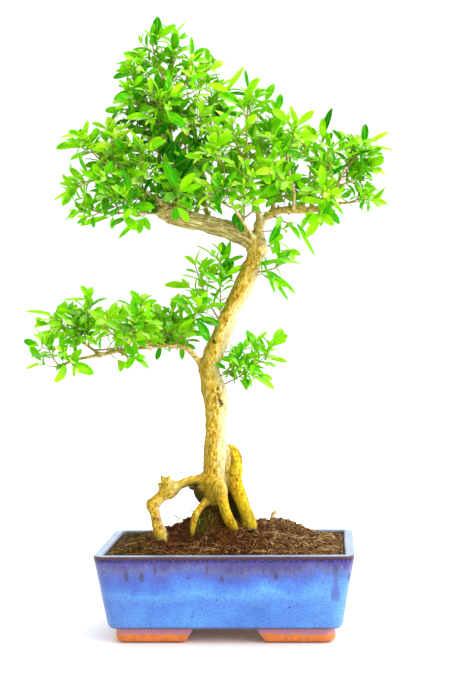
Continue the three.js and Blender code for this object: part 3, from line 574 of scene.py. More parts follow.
def arc(centre_in, centre_z, radius, start, end, steps):
    """A round edge of the profile, as (inside, height) pairs from one angle to another, in degrees."""
    angle = np.radians(np.linspace(start, end, steps))
    return [(centre_in - radius * math.cos(a), centre_z + radius * math.sin(a)) for a in angle]


def make_pot():
    """The closed body: outside up, rim over, inside down. A loop drawn in to a point closes each floor."""
    outside = arc(EDGE_ROUND, FOOT_HEIGHT + EDGE_ROUND, EDGE_ROUND, -88, 0, 8)
    outside += [(0, z) for z in np.linspace(FOOT_HEIGHT + EDGE_ROUND, POT_HEIGHT - RIM_ROUND, 24)[1:]]
    rim = arc(RIM_ROUND, POT_HEIGHT - RIM_ROUND, RIM_ROUND, 0, 90, 7)[1:]
    rim += arc(WALL - RIM_ROUND, POT_HEIGHT - RIM_ROUND, RIM_ROUND, 90, 180, 7)
    inside = [(WALL, z) for z in np.linspace(POT_HEIGHT - RIM_ROUND, FLOOR_Z + FLOOR_ROUND, 12)[1:]]
    inside += arc(WALL + FLOOR_ROUND, FLOOR_Z + FLOOR_ROUND, FLOOR_ROUND, 0, -90, 5)[1:]
    profile = outside + rim + inside
    loops = np.array([wall_loop(z, depth) for depth, z in profile])
    shrink = np.linspace(1, 0, 5)[1:-1]
    under, inner = (np.array([loops[end] * (s, s, 1) for s in shrink]) for end in (0, -1))
    loops = np.concatenate([under[::-1], loops, inner])
    rows, columns = loops.shape[:2]
    points = np.concatenate([loops.reshape(-1, 3), [[0, 0, loops[0, 0, 2]]], [[0, 0, loops[-1, 0, 2]]]])
    # The wall wavers in long waves, and half as much in waves half as long
    place = points * (0.02, 0.02, 0.03)
    waver = (noise(place, 3) + noise(2 * place, 4) / 2)[:, None]
    outwards = points * (1, 1, 0) / np.maximum(np.linalg.norm(points[:, :2], axis=1), 1)[:, None]
    points = points + 0.25 * waver * outwards

    row_of_face = np.repeat(np.arange(rows - 1), columns)
    inner_from = len(under) + len(outside) + len(rim) - 3
    finish = np.concatenate([row_of_face >= inner_from, np.zeros(columns), np.ones(columns)])
    return make_piece("pot_body", points, closed_faces(rows, columns),
                      [GLAZE, THIN_GLAZE, FOOT_CLAY], ["pot"], finish_of_face=finish)


pot_body = make_pot()
print("pot body", len(pot_body.data.polygons), "faces")

# %% [markdown]
# ## The feet and the drainage holes
#
# Each foot is a strip of clay bent round its corner, with sloped ends and a soft lower edge. It is a
# profile again, carried along an L-shaped path: a straight side, a round corner and the other side. The
# feet are joined to the body in one mesh, as the potter joined them, and two bars cut the drainage holes.

# %% The four feet
FOOT_INSET, FOOT_THICKNESS = 5.5, 14
FOOT_LENGTH, FOOT_DEPTH_LENGTH, FOOT_SLOPE = 61, 38, 8
FOOT_CORNER, FOOT_INNER_CORNER = 8, 3
FOOT_HALF_WIDTH = POT_WIDTH / 2 - WALL_TAPER - FOOT_INSET
FOOT_HALF_DEPTH = POT_DEPTH / 2 - WALL_TAPER - FOOT_INSET
FOOT_SUNK = 2.5
# Edges that turn by more degrees than this look sharp, such as those of the drainage holes
SHARP_FROM = 40


def foot_path(share, inside, end_drop):
    """The L: from the front's gap to the corner, round it, and back to the side's gap. End_drop shortens
    both ends. A point further inside turns a tighter corner."""
    width, depth = FOOT_HALF_WIDTH - inside, FOOT_HALF_DEPTH - inside
    radius = np.maximum(FOOT_CORNER - inside, FOOT_INNER_CORNER)
    front_start = FOOT_HALF_WIDTH - FOOT_LENGTH + end_drop
    side_start = FOOT_HALF_DEPTH - FOOT_DEPTH_LENGTH + end_drop
    first, last = np.clip(share / 0.44, 0, 1), np.clip((share - 0.56) / 0.44, 0, 1)
    angle = np.clip((share - 0.44) / 0.12, 0, 1) * np.pi / 2
    x = front_start + (width - radius - front_start) * first
    y = np.full_like(x, 1.0) * depth
    x = x + radius * np.sin(angle)
    y = y - radius * (1 - np.cos(angle))
    y = y - (depth - radius - side_start) * last
    return x, y


def make_foot(sign_x, sign_y):
    """One closed foot. Across it, the profile is a flat-topped strip with an elliptic outer lower edge."""
    outer = [(7 * (1 - math.cos(a)), 5 * (1 - math.sin(a))) for a in np.radians(np.linspace(0, 90, 9))]
    top, back = FOOT_HEIGHT + FOOT_SUNK, FOOT_THICKNESS
    profile = [(0, top), (0, 9), (0, 7), *outer, (10, 0), (back - 1, 0), (back - 0.3, 0.3), (back, 1),
               (back, 6), (back, top), (7, top)]
    inside, height = (np.array(column)[None, :] for column in zip(*profile))
    # The ends: the strip stops along a slope, and the last rings draw in to round the edge off
    share = np.concatenate([[0, 0.004, 0.011], np.linspace(0.022, 0.978, 46), [0.989, 0.996, 1]])[:, None]
    pinch = np.ones_like(share)
    pinch[[0, -1]], pinch[[1, -2]], pinch[[2, -3]] = 0.72, 0.9, 0.97
    middle_in, middle_z = FOOT_THICKNESS / 2, FOOT_HEIGHT / 2 + 1
    inside = middle_in + (inside - middle_in) * pinch
    height = np.where(height > FOOT_HEIGHT, height, np.maximum(middle_z + (height - middle_z) * pinch, 0))
    slope = FOOT_SLOPE * np.clip(1 - height / FOOT_HEIGHT, 0, 1)
    x, y = foot_path(share + 0 * inside, inside, slope)
    rings = np.stack([sign_x * x, sign_y * y, height + 0 * x], axis=-1)
    points = np.concatenate([rings.reshape(-1, 3), rings[[0, -1]].mean(axis=1)])
    return points, closed_faces(*rings.shape[:2])


def combine(piece, points, faces, operation):
    """Joins or cuts with an exact Boolean and drops the other mesh, whose faces have bare clay's finish."""
    other = new_solid("scratch", points, faces, (GLAZE, THIN_GLAZE, FOOT_CLAY), 2)
    with_modifier(piece, "BOOLEAN", operation=operation, object=other, solver="EXACT")
    bpy.data.objects.remove(other)


def upright_bar(x, low, high, radius, sides=40):
    """A round bar from low to high: two circles of points and two lids."""
    angle = np.arange(sides) * math.tau / sides
    circle = np.column_stack([x + radius * np.cos(angle), radius * np.sin(angle)])
    points = np.concatenate([np.column_stack([circle, np.full(sides, z)]) for z in (low, high)])
    lids = np.array([np.arange(sides)[::-1], np.arange(sides) + sides])
    return points, [grid_faces(2, sides), lids]


for sign_x, sign_y in itertools.product((-1, 1), repeat=2):
    combine(pot_body, *make_foot(sign_x, sign_y), "UNION")
for x in (-DRAIN_X, DRAIN_X):
    combine(pot_body, *upright_bar(x, 0.5, FLOOR_Z + FLOOR, DRAIN_RADIUS), "DIFFERENCE")
pot_body.data.shade_smooth()
pot_body.data.set_sharp_from_angle(angle=math.radians(SHARP_FROM))
print("pot with feet", len(pot_body.data.polygons), "faces")

# %% [markdown]
# ## The drainage netting
#
# Squares of plastic netting lie over the holes and keep the soil in. Their solids already have the right
# shape, so they stay and only get a finish: dark moulded plastic with a fine grain.

# %% A finish for the netting
def make_netting():
    """Dark moulded plastic, a little uneven."""
    finish = Finish("netting_plastic")
    finish.colour, mask = finish.patches(0.6, 2, (38, 40, 39), (54, 55, 52))
    return finish.with_grain(mask * 0.2 + 0.45, 2, 0.3, 0.0002)


NETTING = make_netting()
for node in ("drain_net_left", "drain_net_right"):
    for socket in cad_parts[node].material_slots:
        socket.material = NETTING
print("netting ready")

# %% [markdown]
# ## The soil's surface
#
# The soil is a mix of peat, grit and old roots, level near the rim and heaped round the trunk's roots. A
# flat plane with a bump would look like paper from the side. This is a height field: a low dome, the same
# humps as in the solid, and noise on three scales for the clods. A skirt and a base close it.

# %% The height field
SOIL_EDGE_Z = POT_HEIGHT - 3
SOIL_HALF_WIDTH, SOIL_HALF_DEPTH = 91.8, 66.8
SOIL_DOME, SOIL_CLOD = 6, 1.2
SOIL_COLUMNS, SOIL_ROWS = 231, 169
# Heights of the loops that carry the soil's edge down the wall
SKIRT = (55, 40, FLOOR_Z + 3, FLOOR_Z + 0.6)
# The level part by the wall starts about here
SOIL_LEVEL_X, SOIL_LEVEL_Y = 92, 67
# Humps of the soil, as x, y, height, and spread in x and y
SOIL_HUMPS = [(-15, 4, 21, 9.5, 10), (2, 8, 12, 16, 18), (-31, 6, 7.5, 10.5, 14), (43, 18, 12.5, 18, 14),
              (-52, 12, 6, 14, 18), (15, -14, 4.5, 13, 10)]
# Moss has crept up the heap here, at the foot of the trunk
MOSSY_FOOT = (-17, -5)


def soil_height(x, y):
    """A dome that is level at the wall, plus Gaussian humps, plus crossing waves, plus three noises."""
    edge = np.clip(1 - (x / SOIL_LEVEL_X) ** 4, 0, 1) * np.clip(1 - (y / SOIL_LEVEL_Y) ** 4, 0, 1)
    humps = sum(h * np.exp(-0.5 * (((x - cx) / sx) ** 2 + ((y - cy) / sy) ** 2))
                for cx, cy, h, sx, sy in SOIL_HUMPS)
    waves = np.sin(0.55 * x + 2.1 * np.sin(0.31 * y)) + np.sin(0.63 * y + 1.7 * np.sin(0.27 * x))
    flat = np.stack([x, y, 0 * x], axis=-1).reshape(-1, 3)
    clods = 1.0 * noise(flat * 0.2, 11) + 0.9 * noise(flat * 0.5, 12) + 0.6 * noise(flat * 1.1, 13)
    rough = (0.35 + 0.65 * edge) * clods.reshape(x.shape)
    return SOIL_EDGE_Z + edge * (SOIL_DOME + humps + SOIL_CLOD * waves) + rough


def make_soil_finish():
    """Soil: dark and reddish browns in patches, paler to the right, with olive moss on the left."""
    finish = Finish("soil", Specular_IOR_Level=0.1)
    across, deep = finish.place.axis("X"), finish.place.axis("Y")
    dark, mask = finish.patches(0.35, 3.5, (27, 14, 6), (120, 62, 20))
    pale, _ = finish.patches(0.5, 3, (52, 31, 20), (146, 113, 80))
    finish.colour = dark.mixed((deep * 0.5 + across).step(-5, 65) * 0.9, pale)
    humus = finish.place.rough(0.06)
    finish.tint(humus.step(0.48, 0.4) * 0.55, 34, 22, 18)
    from_foot = finish.place.stretched(1, 1, 0).with_vector("DISTANCE", (*MOSSY_FOOT, 0), "Value")
    moss = (humus - across * 0.006).step(0.86, 1).maths("MAXIMUM", from_foot.step(17, 6))
    green, _ = finish.patches(0.8, 3, (44, 42, 6), (104, 98, 26))
    finish.colour = finish.colour.mixed(moss * 0.7, green)
    return finish.with_grain(mask * 0.15 + 0.8, 1.5, 0.9, 0.0008)


def make_soil():
    """The height field on a grid, its edge loop carried down the wall, and a fan to close the base."""
    u, v = np.meshgrid(np.linspace(-1, 1, SOIL_COLUMNS), np.linspace(-1, 1, SOIL_ROWS))
    # Near a corner both shares are large, and the point is drawn in, to round the corner as the wall does
    corner = 1 - 0.012 * (np.abs(u * v)) ** 30
    x, y = SOIL_HALF_WIDTH * u * corner, SOIL_HALF_DEPTH * v * corner
    top = np.stack([x, y, soil_height(x, y)], axis=-1)
    number = np.arange(u.size).reshape(u.shape)
    edge = np.concatenate([number[0, :-1], number[:-1, -1], number[-1, :0:-1], number[:0:-1, 0]])
    points = top.reshape(-1, 3)
    rings = []
    for z in SKIRT:
        inset = WALL_TAPER * (SOIL_EDGE_Z - z) / (POT_HEIGHT - FOOT_HEIGHT) + 0.2
        drawn_in = (1 - inset / SOIL_HALF_WIDTH, 1 - inset / SOIL_HALF_DEPTH, 0)
        rings.append(points[edge] * drawn_in + (0, 0, z))
    base = len(points) + len(edge) * len(rings)
    points = np.concatenate([points, *rings, [[0, 0, SKIRT[-1]]]])
    loops = np.concatenate([edge[None], np.arange(u.size, base).reshape(len(rings), -1)])
    after = np.roll(loops, -1, axis=1)
    skirt = np.stack([loops[:-1], loops[1:], after[1:], after[:-1]], axis=-1).reshape(-1, 4)
    fan = np.column_stack([loops[-1], np.full(len(edge), base), after[-1]])
    faces = [grid_faces(*u.shape, wrap=False), skirt, fan]
    return make_piece("soil_surface", points, faces, [SOIL], ["soil"])


SOIL = make_soil_finish()
soil_surface = make_soil()
print("soil", len(soil_surface.data.polygons), "faces")

# %% [markdown]
# ## Crumbs, chips, fibres and moss
#
# Loose stuff lies on the soil: crumbs of peat, a few chips of bark, tan root fibres that loop over the
# surface, and tufts of moss on the left. Each kind is one small shape with few faces that is repeated
# with its own size, turn and tone. The tone is stored on the points, and the finish turns it into a
# colour, so one material serves hundreds of crumbs that all differ.

# %% Small shapes in numbers
GOLDEN = (1 + 5**0.5) / 2
LUMP = np.array([(s, t * GOLDEN, 0) for s in (-1, 1) for t in (-1, 1)])
LUMP = np.concatenate([LUMP, np.roll(LUMP, 1, axis=1), np.roll(LUMP, 2, axis=1)]) / (1 + GOLDEN**2) ** 0.5


def lump_faces():
    """The 20 triangles of the lump: every three corners that are all nearest neighbours, facing out."""
    near = [i for i in itertools.combinations(range(12), 3)
            if max(np.linalg.norm(LUMP[a] - LUMP[b]) for a, b in itertools.combinations(i, 2)) < 1.06]
    return np.array([i if np.linalg.det(LUMP[list(i)]) > 0 else i[::-1] for i in near])


def turned(count, draws):
    """A random turn for each of a number of things: the rotation matrices of evenly spread quaternions."""
    u, v, w = draws.random((3, count))
    q = np.stack([np.sqrt(1 - u) * np.sin(math.tau * v), np.sqrt(1 - u) * np.cos(math.tau * v),
                  np.sqrt(u) * np.sin(math.tau * w), np.sqrt(u) * np.cos(math.tau * w)], axis=1)
    axis, twist = q[:, :3], q[:, 3, None, None]
    shrink = 1 - 2 * np.sum(axis * axis, axis=1)[:, None, None]
    return (shrink * np.eye(3) + 2 * axis[:, :, None] * axis[:, None]
            + 2 * twist * np.cross(np.eye(3), axis[:, None]))


def copied(blocks, count, size):
    """The faces of one thing of so many points, for a number of such things in a row."""
    shift = (np.arange(count) * size)[:, None, None]
    return [(block[None] + shift).reshape(-1, block.shape[1]) for block in blocks]


def repeated(shape, shape_faces, centres, matrices):
    """Copies of a shape: each is the shape times its own matrix, moved to its own centre."""
    points = np.einsum("nij,kj->nki", matrices, shape) + centres[:, None, :]
    return points.reshape(-1, 3), copied([shape_faces], len(centres), len(shape))


def scattered(count, draws):
    """Places on the soil, within the wall."""
    x = draws.uniform(-0.97, 0.97, count) * SOIL_HALF_WIDTH
    y = draws.uniform(-0.97, 0.97, count) * SOIL_HALF_DEPTH
    return x, y


def make_toned(name, roughness, grain, uneven, *stops):
    """A finish whose colour comes from the tone on the points, made uneven by a noise."""
    finish = Finish(name, Specular_IOR_Level=0.1)
    rough = finish.place.rough(grain)
    finish.colour = ((rough - 0.5) * uneven + finish.attribute("tone")).ramp(*stops)
    return finish.with_grain(rough * 0.2 + roughness, grain, 0.6, 0.0003)


CRUMB = make_toned("peat_and_grit", 0.75, 1.2, 0.5, (0, 18, 10, 6), (0.5, 66, 38, 20), (0.8, 112, 70, 40),
                   (1, 170, 130, 86))
FIBRE = make_toned("root_fibre", 0.6, 2.0, 0.5, (0, 44, 22, 6), (0.5, 116, 68, 20), (0.8, 172, 124, 58),
                   (1, 240, 210, 148))
MOSS = make_toned("moss", 0.7, 1.0, 0.5, (0, 26, 28, 2), (0.5, 66, 66, 6), (1, 138, 138, 28))

# %% Crumbs and chips of bark
CRUMBS, CHIPS = 1500, 34
draws = np.random.default_rng(5)
x, y = scattered(CRUMBS, draws)
size = 0.4 + 1.0 * draws.random(CRUMBS) ** 3
reshape = draws.uniform(0.6, 1.25, (CRUMBS, 1, 3))
centres = np.column_stack([x, y, soil_height(x, y) + 0.25 * size])
points, faces = repeated(LUMP, lump_faces(), centres, turned(CRUMBS, draws) * reshape * size[:, None, None])
uneven = np.stack([noise(points * 1.7, k) for k in (21, 22, 23)], axis=1)
points += 0.18 * size.repeat(len(LUMP))[:, None] * uneven
tone = draws.random(CRUMBS) ** 1.5
make_piece("soil_crumbs", points, faces, [CRUMB], tone=tone.repeat(len(LUMP)))

# Two chips lie in front of the roots, and the rest are scattered
x, y = scattered(CHIPS, draws)
x[:2], y[:2] = (12, 21), (-36, -31)
size = draws.uniform(1.2, 2.6, CHIPS)
size[:2] = 3.2
wide, thick = draws.uniform(0.4, 0.7, CHIPS), draws.uniform(0.12, 0.25, CHIPS)
flat = np.column_stack([np.ones(CHIPS), wide, thick])
spin = draws.uniform(0, math.tau, CHIPS)
lean = draws.uniform(-0.35, 0.35, (2, CHIPS))
level = np.stack([np.cos(spin), -np.sin(spin), lean[0], np.sin(spin), np.cos(spin), lean[1],
                  -lean[0], -lean[1], np.ones(CHIPS)], axis=1).reshape(-1, 3, 3)
centres = np.column_stack([x, y, soil_height(x, y) + 0.6])
points, faces = repeated(LUMP, lump_faces(), centres, level * (flat * size[:, None])[:, None, :])
points += 0.3 * np.stack([noise(points * 0.9, k) for k in (31, 32, 33)], axis=1)
tone = draws.uniform(0.55, 0.95, CHIPS)
make_piece("soil_bark_chips", points, faces, [CRUMB], tone=tone.repeat(len(LUMP)))
print(CRUMBS, "crumbs and", CHIPS, "chips")


# %% Tubes along many paths at once
# A line is steep where more than this share of its length is height
STEEP = 0.8


def tubes(paths, radii, sides):
    """Round tubes along n paths of m points. The ring at each point is set square to the path: one of its
    directions is the path's own crossed with a fixed guide. A point closes each end."""
    count, steps = paths.shape[:2]
    along = unit(np.gradient(paths, axis=1))
    steep = np.abs(unit(paths[:, -1] - paths[:, 0])[:, 2]) > STEEP
    guide = np.where(steep[:, None], (0, 1, 0), (0, 0, 1))[:, None, :]
    side = unit(np.cross(guide, along))
    upper = np.cross(along, side)
    angle = np.arange(sides) * math.tau / sides
    ring = side[:, :, None] * np.cos(angle)[:, None] + upper[:, :, None] * np.sin(angle)[:, None]
    rings = paths[:, :, None] + ring * radii[:, :, None, None]
    tips = paths[:, [0, -1]] + along[:, [0, -1]] * radii[:, [0, -1], None] * np.array([-0.6, 0.6])[:, None]
    points = np.concatenate([rings.reshape(count, -1, 3), tips], axis=1)
    size = points.shape[1]
    return points.reshape(-1, 3), copied(closed_faces(steps, sides), count, size), size


# %% Fibres, a wooden stub and moss
FIBRES, FIBRE_STEPS, FIBRE_SIDES = 4700, 6, 3
# A fibre stays this near to the pot's middle, so that it keeps off the wall
FIBRE_LIMIT_X, FIBRE_LIMIT_Y = 90.5, 65.5
STUB = np.array([(32, 25, 82), (33, 25, 84), (34, 25, 86), (34, 25, 88), (35, 25, 89.5), (37, 25, 91)])
draws = np.random.default_rng(8)
x, y = scattered(FIBRES, draws)
# More of them lie in the middle and on the right, as roots there were teased out
x = np.where(draws.random(FIBRES) < 0.45, 0.55 * x + 22, x)
heading = draws.uniform(0, math.tau, FIBRES)
bend = draws.normal(0, 0.07, (FIBRES, FIBRE_STEPS))
length = draws.uniform(6, 16, FIBRES) + 14 * draws.random(FIBRES) ** 4
turn = heading[:, None] + np.cumsum(bend, axis=1)
stride = (length / FIBRE_STEPS)[:, None]
px = (x[:, None] + np.cumsum(stride * np.cos(turn), axis=1)).clip(-FIBRE_LIMIT_X, FIBRE_LIMIT_X)
py = (y[:, None] + np.cumsum(stride * np.sin(turn), axis=1)).clip(-FIBRE_LIMIT_Y, FIBRE_LIMIT_Y)
share = np.linspace(0, 1, FIBRE_STEPS)
# On steep ground only short ones hold
rise = np.ptp(soil_height(px, py), axis=1)[:, None]
shrink = np.clip(3.5 / rise, 0.25, 1)
px, py = (line[:, :1] + (line - line[:, :1]) * shrink for line in (px, py))
hop = shrink * draws.uniform(0, 1.0, FIBRES)[:, None] * np.sin(np.pi * share) ** 2
# A fibre spans the dips between its ends and rests on what stands between them
ground = soil_height(px, py)
taut = ground[:, :1] + (ground[:, -1:] - ground[:, :1]) * share
paths = np.stack([px, py, np.maximum(ground, taut) + 0.15 + hop], axis=-1)
radii = draws.uniform(0.08, 0.19, FIBRES)[:, None] * np.linspace(1, 0.6, FIBRE_STEPS)
tone = draws.random(FIBRES) ** 1.6 + 0.18 * np.clip((px[:, 0] + 0.5 * py[:, 0]) / 50, 0, 1)
paths[0], radii[0], tone[0] = STUB, 2.0, 0.9
points, faces, size = tubes(paths, radii, FIBRE_SIDES)
make_piece("soil_fibres", points, faces, [FIBRE], tone=tone.repeat(size))

TUFTS, FOOT_TUFTS = 1300, 260
x, y = scattered(TUFTS, draws)
x = np.where(draws.random(TUFTS) < 0.8, -91 + np.abs(draws.normal(0, 22, TUFTS)), x)
keep = noise(np.column_stack([x, y, 0 * x]) * 0.09, 41) > -0.05
x[:FOOT_TUFTS], y[:FOOT_TUFTS] = draws.normal(0, 6, (2, FOOT_TUFTS)) + np.array(MOSSY_FOOT)[:, None]
keep[:FOOT_TUFTS] = True
x, y = np.clip(x[keep], -90.8, 90), y[keep]
foot = np.column_stack([x, y, soil_height(x, y) - 0.2])
reach = np.column_stack([draws.normal(0, 0.5, len(x)), draws.normal(0, 0.5, len(x)),
                         draws.uniform(0.8, 2.2, len(x))])
share = np.linspace(0, 1, 3)[:, None]
paths = foot[:, None] + reach[:, None] * share
radii = draws.uniform(0.2, 0.45, len(x))[:, None] * (1 - 0.8 * share[:, 0])
points, faces, size = tubes(paths, radii, FIBRE_SIDES)
make_piece("soil_moss", points, faces, [MOSS], tone=draws.random(len(x)).repeat(size))
print(FIBRES, "fibres and", len(x), "tufts of moss")

# %% [markdown]
# ## The tree's wood
#
# Trunk, boughs and raised roots grew as one body, and they flow into each other in soft fillets. Tubes
# pushed into one another would show hard creases where they meet. So each limb is a distance field, a
# smooth minimum blends the fields, and a voxel skin is pulled onto the blended surface. The same fields
# give every point its place along its own limb, so the bark's fibres and flakes can run along the wood.

# %% The limbs, as points along their middle with radii
LIMBS = {
    "trunk": [
        (-13, 2, 103, 7.5), (-12, 2, 115, 9.5), (-11, 1, 127, 8.5), (-10, 0, 143, 8.2), (-9, -1, 159, 8),
        (-9, -3, 174, 8.6), (-9, -4, 185, 9.7), (-11, -4, 196, 8.9), (-13, -3, 207, 8.1),
        (-10, -2, 219, 7.3), (-6, 0, 230, 7.3), (-1, 2, 243, 7.1), (5, 4, 257, 7), (12, 5, 271, 7.4),
        (19, 5, 285, 7.4), (24, 4, 297, 7), (25, 3, 309, 7.2),
    ],
    "right": [
        (25, 3, 301, 6.4), (27, 3, 317, 5), (29, 4, 324, 4.2), (36, 6, 330, 3.4), (47, 8, 334, 3.1),
        (60, 9, 334, 2.9), (73, 10, 334, 2.6), (86, 8, 338, 2.1), (99, 5, 339, 1.3),
    ],
    "cut": [
        (25, 3, 307, 6.5), (15, 2, 313, 7), (4, 0, 318, 7), (-11, -3, 323, 6.9), (-23, -5, 326, 6.5),
        (-35, -7, 329, 7.3), (-44, -8, 332, 6.4), (-50, -9, 334, 4.8),
    ],
    "pad": [
        (-15, -1, 203, 5), (-21, -2, 213, 3.7), (-25, -4, 219, 3.4), (-30, -6, 224, 3), (-39, -9, 227, 2.1),
        (-52, -12, 227, 1.9), (-67, -16, 226, 2.1), (-83, -19, 224, 2.2), (-98, -22, 221, 2),
        (-114, -25, 218, 1.9), (-124, -27, 215, 1.7), (-134, -28, 212, 1.2),
    ],
    "leader": [
        (-35, -7, 329, 4.4), (-39, -5, 346, 4), (-42, -2, 367, 3.5), (-42, 0, 389, 2.9), (-43, -1, 413, 2.2),
        (-45, -2, 435, 1.4),
    ],
    "leader_right": [(-42, -2, 366, 2.6), (-37, 9, 383, 2.2), (-29, 17, 402, 1.8), (-25, 21, 421, 1.2)],
    "leader_left": [(-42, -1, 381, 2.4), (-49, -12, 396, 2), (-57, -18, 411, 1.6), (-61, -20, 425, 1.1)],
    "left_upper": [
        (-41, -8, 333, 3.4), (-55, -16, 345, 2.9), (-70, -22, 355, 2.4), (-85, -25, 366, 1.8),
        (-95, -26, 374, 1.2),
    ],
    "left_back": [
        (-42, -6, 334, 3.2), (-59, 14, 346, 2.7), (-77, 26, 353, 2.2), (-94, 33, 359, 1.6),
        (-106, 36, 364, 1.2),
    ],
    "left_lower": [(-46, -9, 332, 2.2), (-60, -22, 332, 1.8), (-75, -29, 332, 1.4), (-89, -33, 331, 1.1)],
    "middle_back": [
        (-10, -1, 322, 3.2), (-16, 14, 339, 2.7), (-19, 27, 359, 2.2), (-17, 33, 379, 1.6),
        (-15, 35, 395, 1.1),
    ],
    "middle": [
        (28, 4, 321, 3.6), (26, -2, 337, 3.1), (21, -6, 354, 2.6), (19, -8, 375, 2), (19, -8, 397, 1.3),
    ],
    "middle_front": [
        (25, 1, 309, 2.8), (16, -22, 324, 2.4), (8, -36, 338, 2), (4, -44, 354, 1.5), (3, -46, 364, 1.1),
    ],
    "right_up": [(38, 6, 331, 2.8), (39, 14, 349, 2.4), (37, 20, 369, 1.9), (35, 22, 386, 1.3)],
    "right_front": [(54, 9, 334, 2.6), (56, -12, 345, 2.2), (53, -24, 360, 1.8), (51, -28, 377, 1.2)],
    "right_back": [(60, 9, 334, 2.6), (65, 30, 345, 2.2), (67, 44, 360, 1.8), (69, 50, 374, 1.2)],
    "right_tip": [(80, 9, 336, 2.2), (87, 2, 346, 1.9), (92, -4, 356, 1.5), (96, -7, 367, 1.1)],
    "pad_front": [(-59, -14, 226, 1.8), (-69, -30, 230, 1.5), (-80, -42, 234, 1.1)],
    "pad_back": [(-42, -9, 227, 1.9), (-56, 12, 230, 1.6), (-72, 28, 233, 1.3), (-88, 38, 236, 1.1)],
    "pad_left": [(-98, -22, 221, 1.8), (-109, -14, 228, 1.4), (-119, -8, 233, 1.1)],
    "root_left": [
        (-12, 2, 118, 7), (-20, 0, 119, 4.8), (-29, -3, 119, 3.7), (-38, -6, 116, 3.9), (-45, -9, 112, 5),
        (-53, -11, 107, 5), (-58, -13, 101, 4.6), (-57, -14, 94, 4), (-55, -15, 85, 4.3),
        (-52, -16, 76, 4.9), (-50, -17, 64, 4.4),
    ],
    "root_front": [
        (-12, 0, 120, 7), (-8, -3, 115, 5.1), (-5, -6, 108, 4.3), (-3, -9, 100, 4.1), (0, -12, 92, 4),
        (4, -14, 83, 4.1), (7, -15, 73, 4), (9, -16, 63, 3.4),
    ],
    "root_thin": [
        (-12, 0, 111, 4.8), (-16, -5, 104, 2.8), (-21, -9, 99, 2.7), (-25, -12, 93, 2.6),
        (-27, -14, 85, 2.5), (-27, -15, 76, 2.4), (-27, -15, 66, 2),
    ],
    "root_right": [
        (-7, 8, 137, 3.4), (-1, 10, 143, 3.9), (4, 8, 141, 4.7), (7, 6, 133, 4.7), (6, 4, 123, 4.7),
        (7, 2, 114, 5.1), (10, 0, 105, 5.5), (13, -2, 97, 5.5), (16, -4, 90, 5.1), (18, -6, 80, 5.3),
        (19, -8, 70, 4.8), (20, -9, 60, 4),
    ],
    "root_back": [
        (-6, 6, 136, 3.6), (-2, 13, 124, 4), (1, 15, 110, 4.2), (4, 18, 96, 4.5), (7, 21, 84, 4.6),
        (8, 24, 70, 4.2), (9, 26, 60, 3.6),
    ],
    "root_far": [
        (-12, 6, 117, 6), (-10, 18, 109, 5), (-9, 28, 98, 4.6), (-9, 36, 86, 4.4), (-10, 41, 74, 4.2),
        (-10, 43, 62, 3.6),
    ],
    "burl": [(-13, 5, 114, 7), (-21, 8, 113, 5.4), (-30, 13, 113, 3)],
}
# Swellings on the trunk, the fork and the left root, as x, y, z and radius
KNOTS = [(-7, -10, 185, 4.4), (30, 4, 302, 3), (-46, -9, 114, 5)]
# Smaller ones: at the trunk's foot, on the left root and where its spikes start, and under the fork
BUMPS = [(-6, -6, 112, 5.4), (-61, -12, 101, 3.4), (-48, -10, 119, 2.2), (28, 0, 303, 4.1), (7, 1, 127, 4.8),
         (16, -5, 84, 5.4), (-21, 0, 110, 6.4), (-14, -3, 108, 5.0)]
# Dead spikes on the left root, and bare spurs and knuckles along the right bough
SPIKES = [
    [(-49, -10, 117, 1.8), (-51, -10, 121, 1.3), (-52, -10, 124, 0.7)],
    [(-47, -11, 117, 1.5), (-46, -12, 121, 1.0), (-46, -12, 124, 0.6)],
    [(-52, -10, 114, 1.4), (-55, -9, 118, 0.7)],
]
SPUR_RADIUS = 0.75
SPUR_FROM, SPUR_TO, SPURS = 0.22, 0.86, 16
# Peat and dead bark that lodge between the trunk and the root beside it
PEAT = [
    [(-2, 9, 142, 2.2), (0, 9, 132, 3), (2, 8, 120, 3.6), (4, 8, 106, 4.4), (6, 9, 92, 5), (8, 10, 78, 5.4)],
    [(-1, 3, 145, 1.5), (0, 3, 134, 2.1), (0, 3, 122, 2.3), (1, 4, 110, 2.6)],
]
# Scars: where each is, how wide, and how deep
HOLLOWS = [
    (-6, -13, 188, 1.7, 1.3), (-4, -13, 184, 1.6, 1.3), (-3, -13, 180, 1.5, 1.2), (-7, -13, 192, 1, 0.6),
    (-9, -7, 230, 1.3, 0.7), (-13, -6, 224, 1.2, 0.5), (5, -9, 259, 1.4, 0.5), (-17, -6, 182, 1.6, 1),
    (-13, -9, 146, 1.1, 0.5), (17, -9, 84, 1.5, 0.7),
]
# The middle and the reach of the mossy underside of the trunk's foot, which is painted dark as shade
MOSSY_SHADE, MOSSY_SHADE_REACH = (-25, -3, 109), (15, 18, 10)
# Above this height the lodged stuff beside the trunk is pale peeling bark, and below it is dark peat, also
# painted dark as the shade in that narrow gap
PEAT_TOP = 126
# What each limb's bark is like, as shares of yellow root, of grey dead wood and of thin brown bough
BARK_KINDS = {
    "trunk": (0, 0, 0), "cut": (0, 1, 0), "root_left": (0.4, 0.1, 0), "root_front": (1, 0, 0),
    "root_thin": (0.8, 0, 0), "root_right": (1, 0, 0), "root_back": (0.9, 0, 0), "root_far": (0.7, 0.1, 0),
    "burl": (0.5, 0.1, 0), "right": (0, 0.25, 0.35), "spur": (0, 0.3, 0.2), "pad": (0, 0.2, 0.8),
    "peat": (0, 0.3, 0.2),
}
THIN_KIND = (0, 0.15, 1)
THICK = ["trunk", "cut", "burl", *(name for name in LIMBS if name.startswith("root"))]
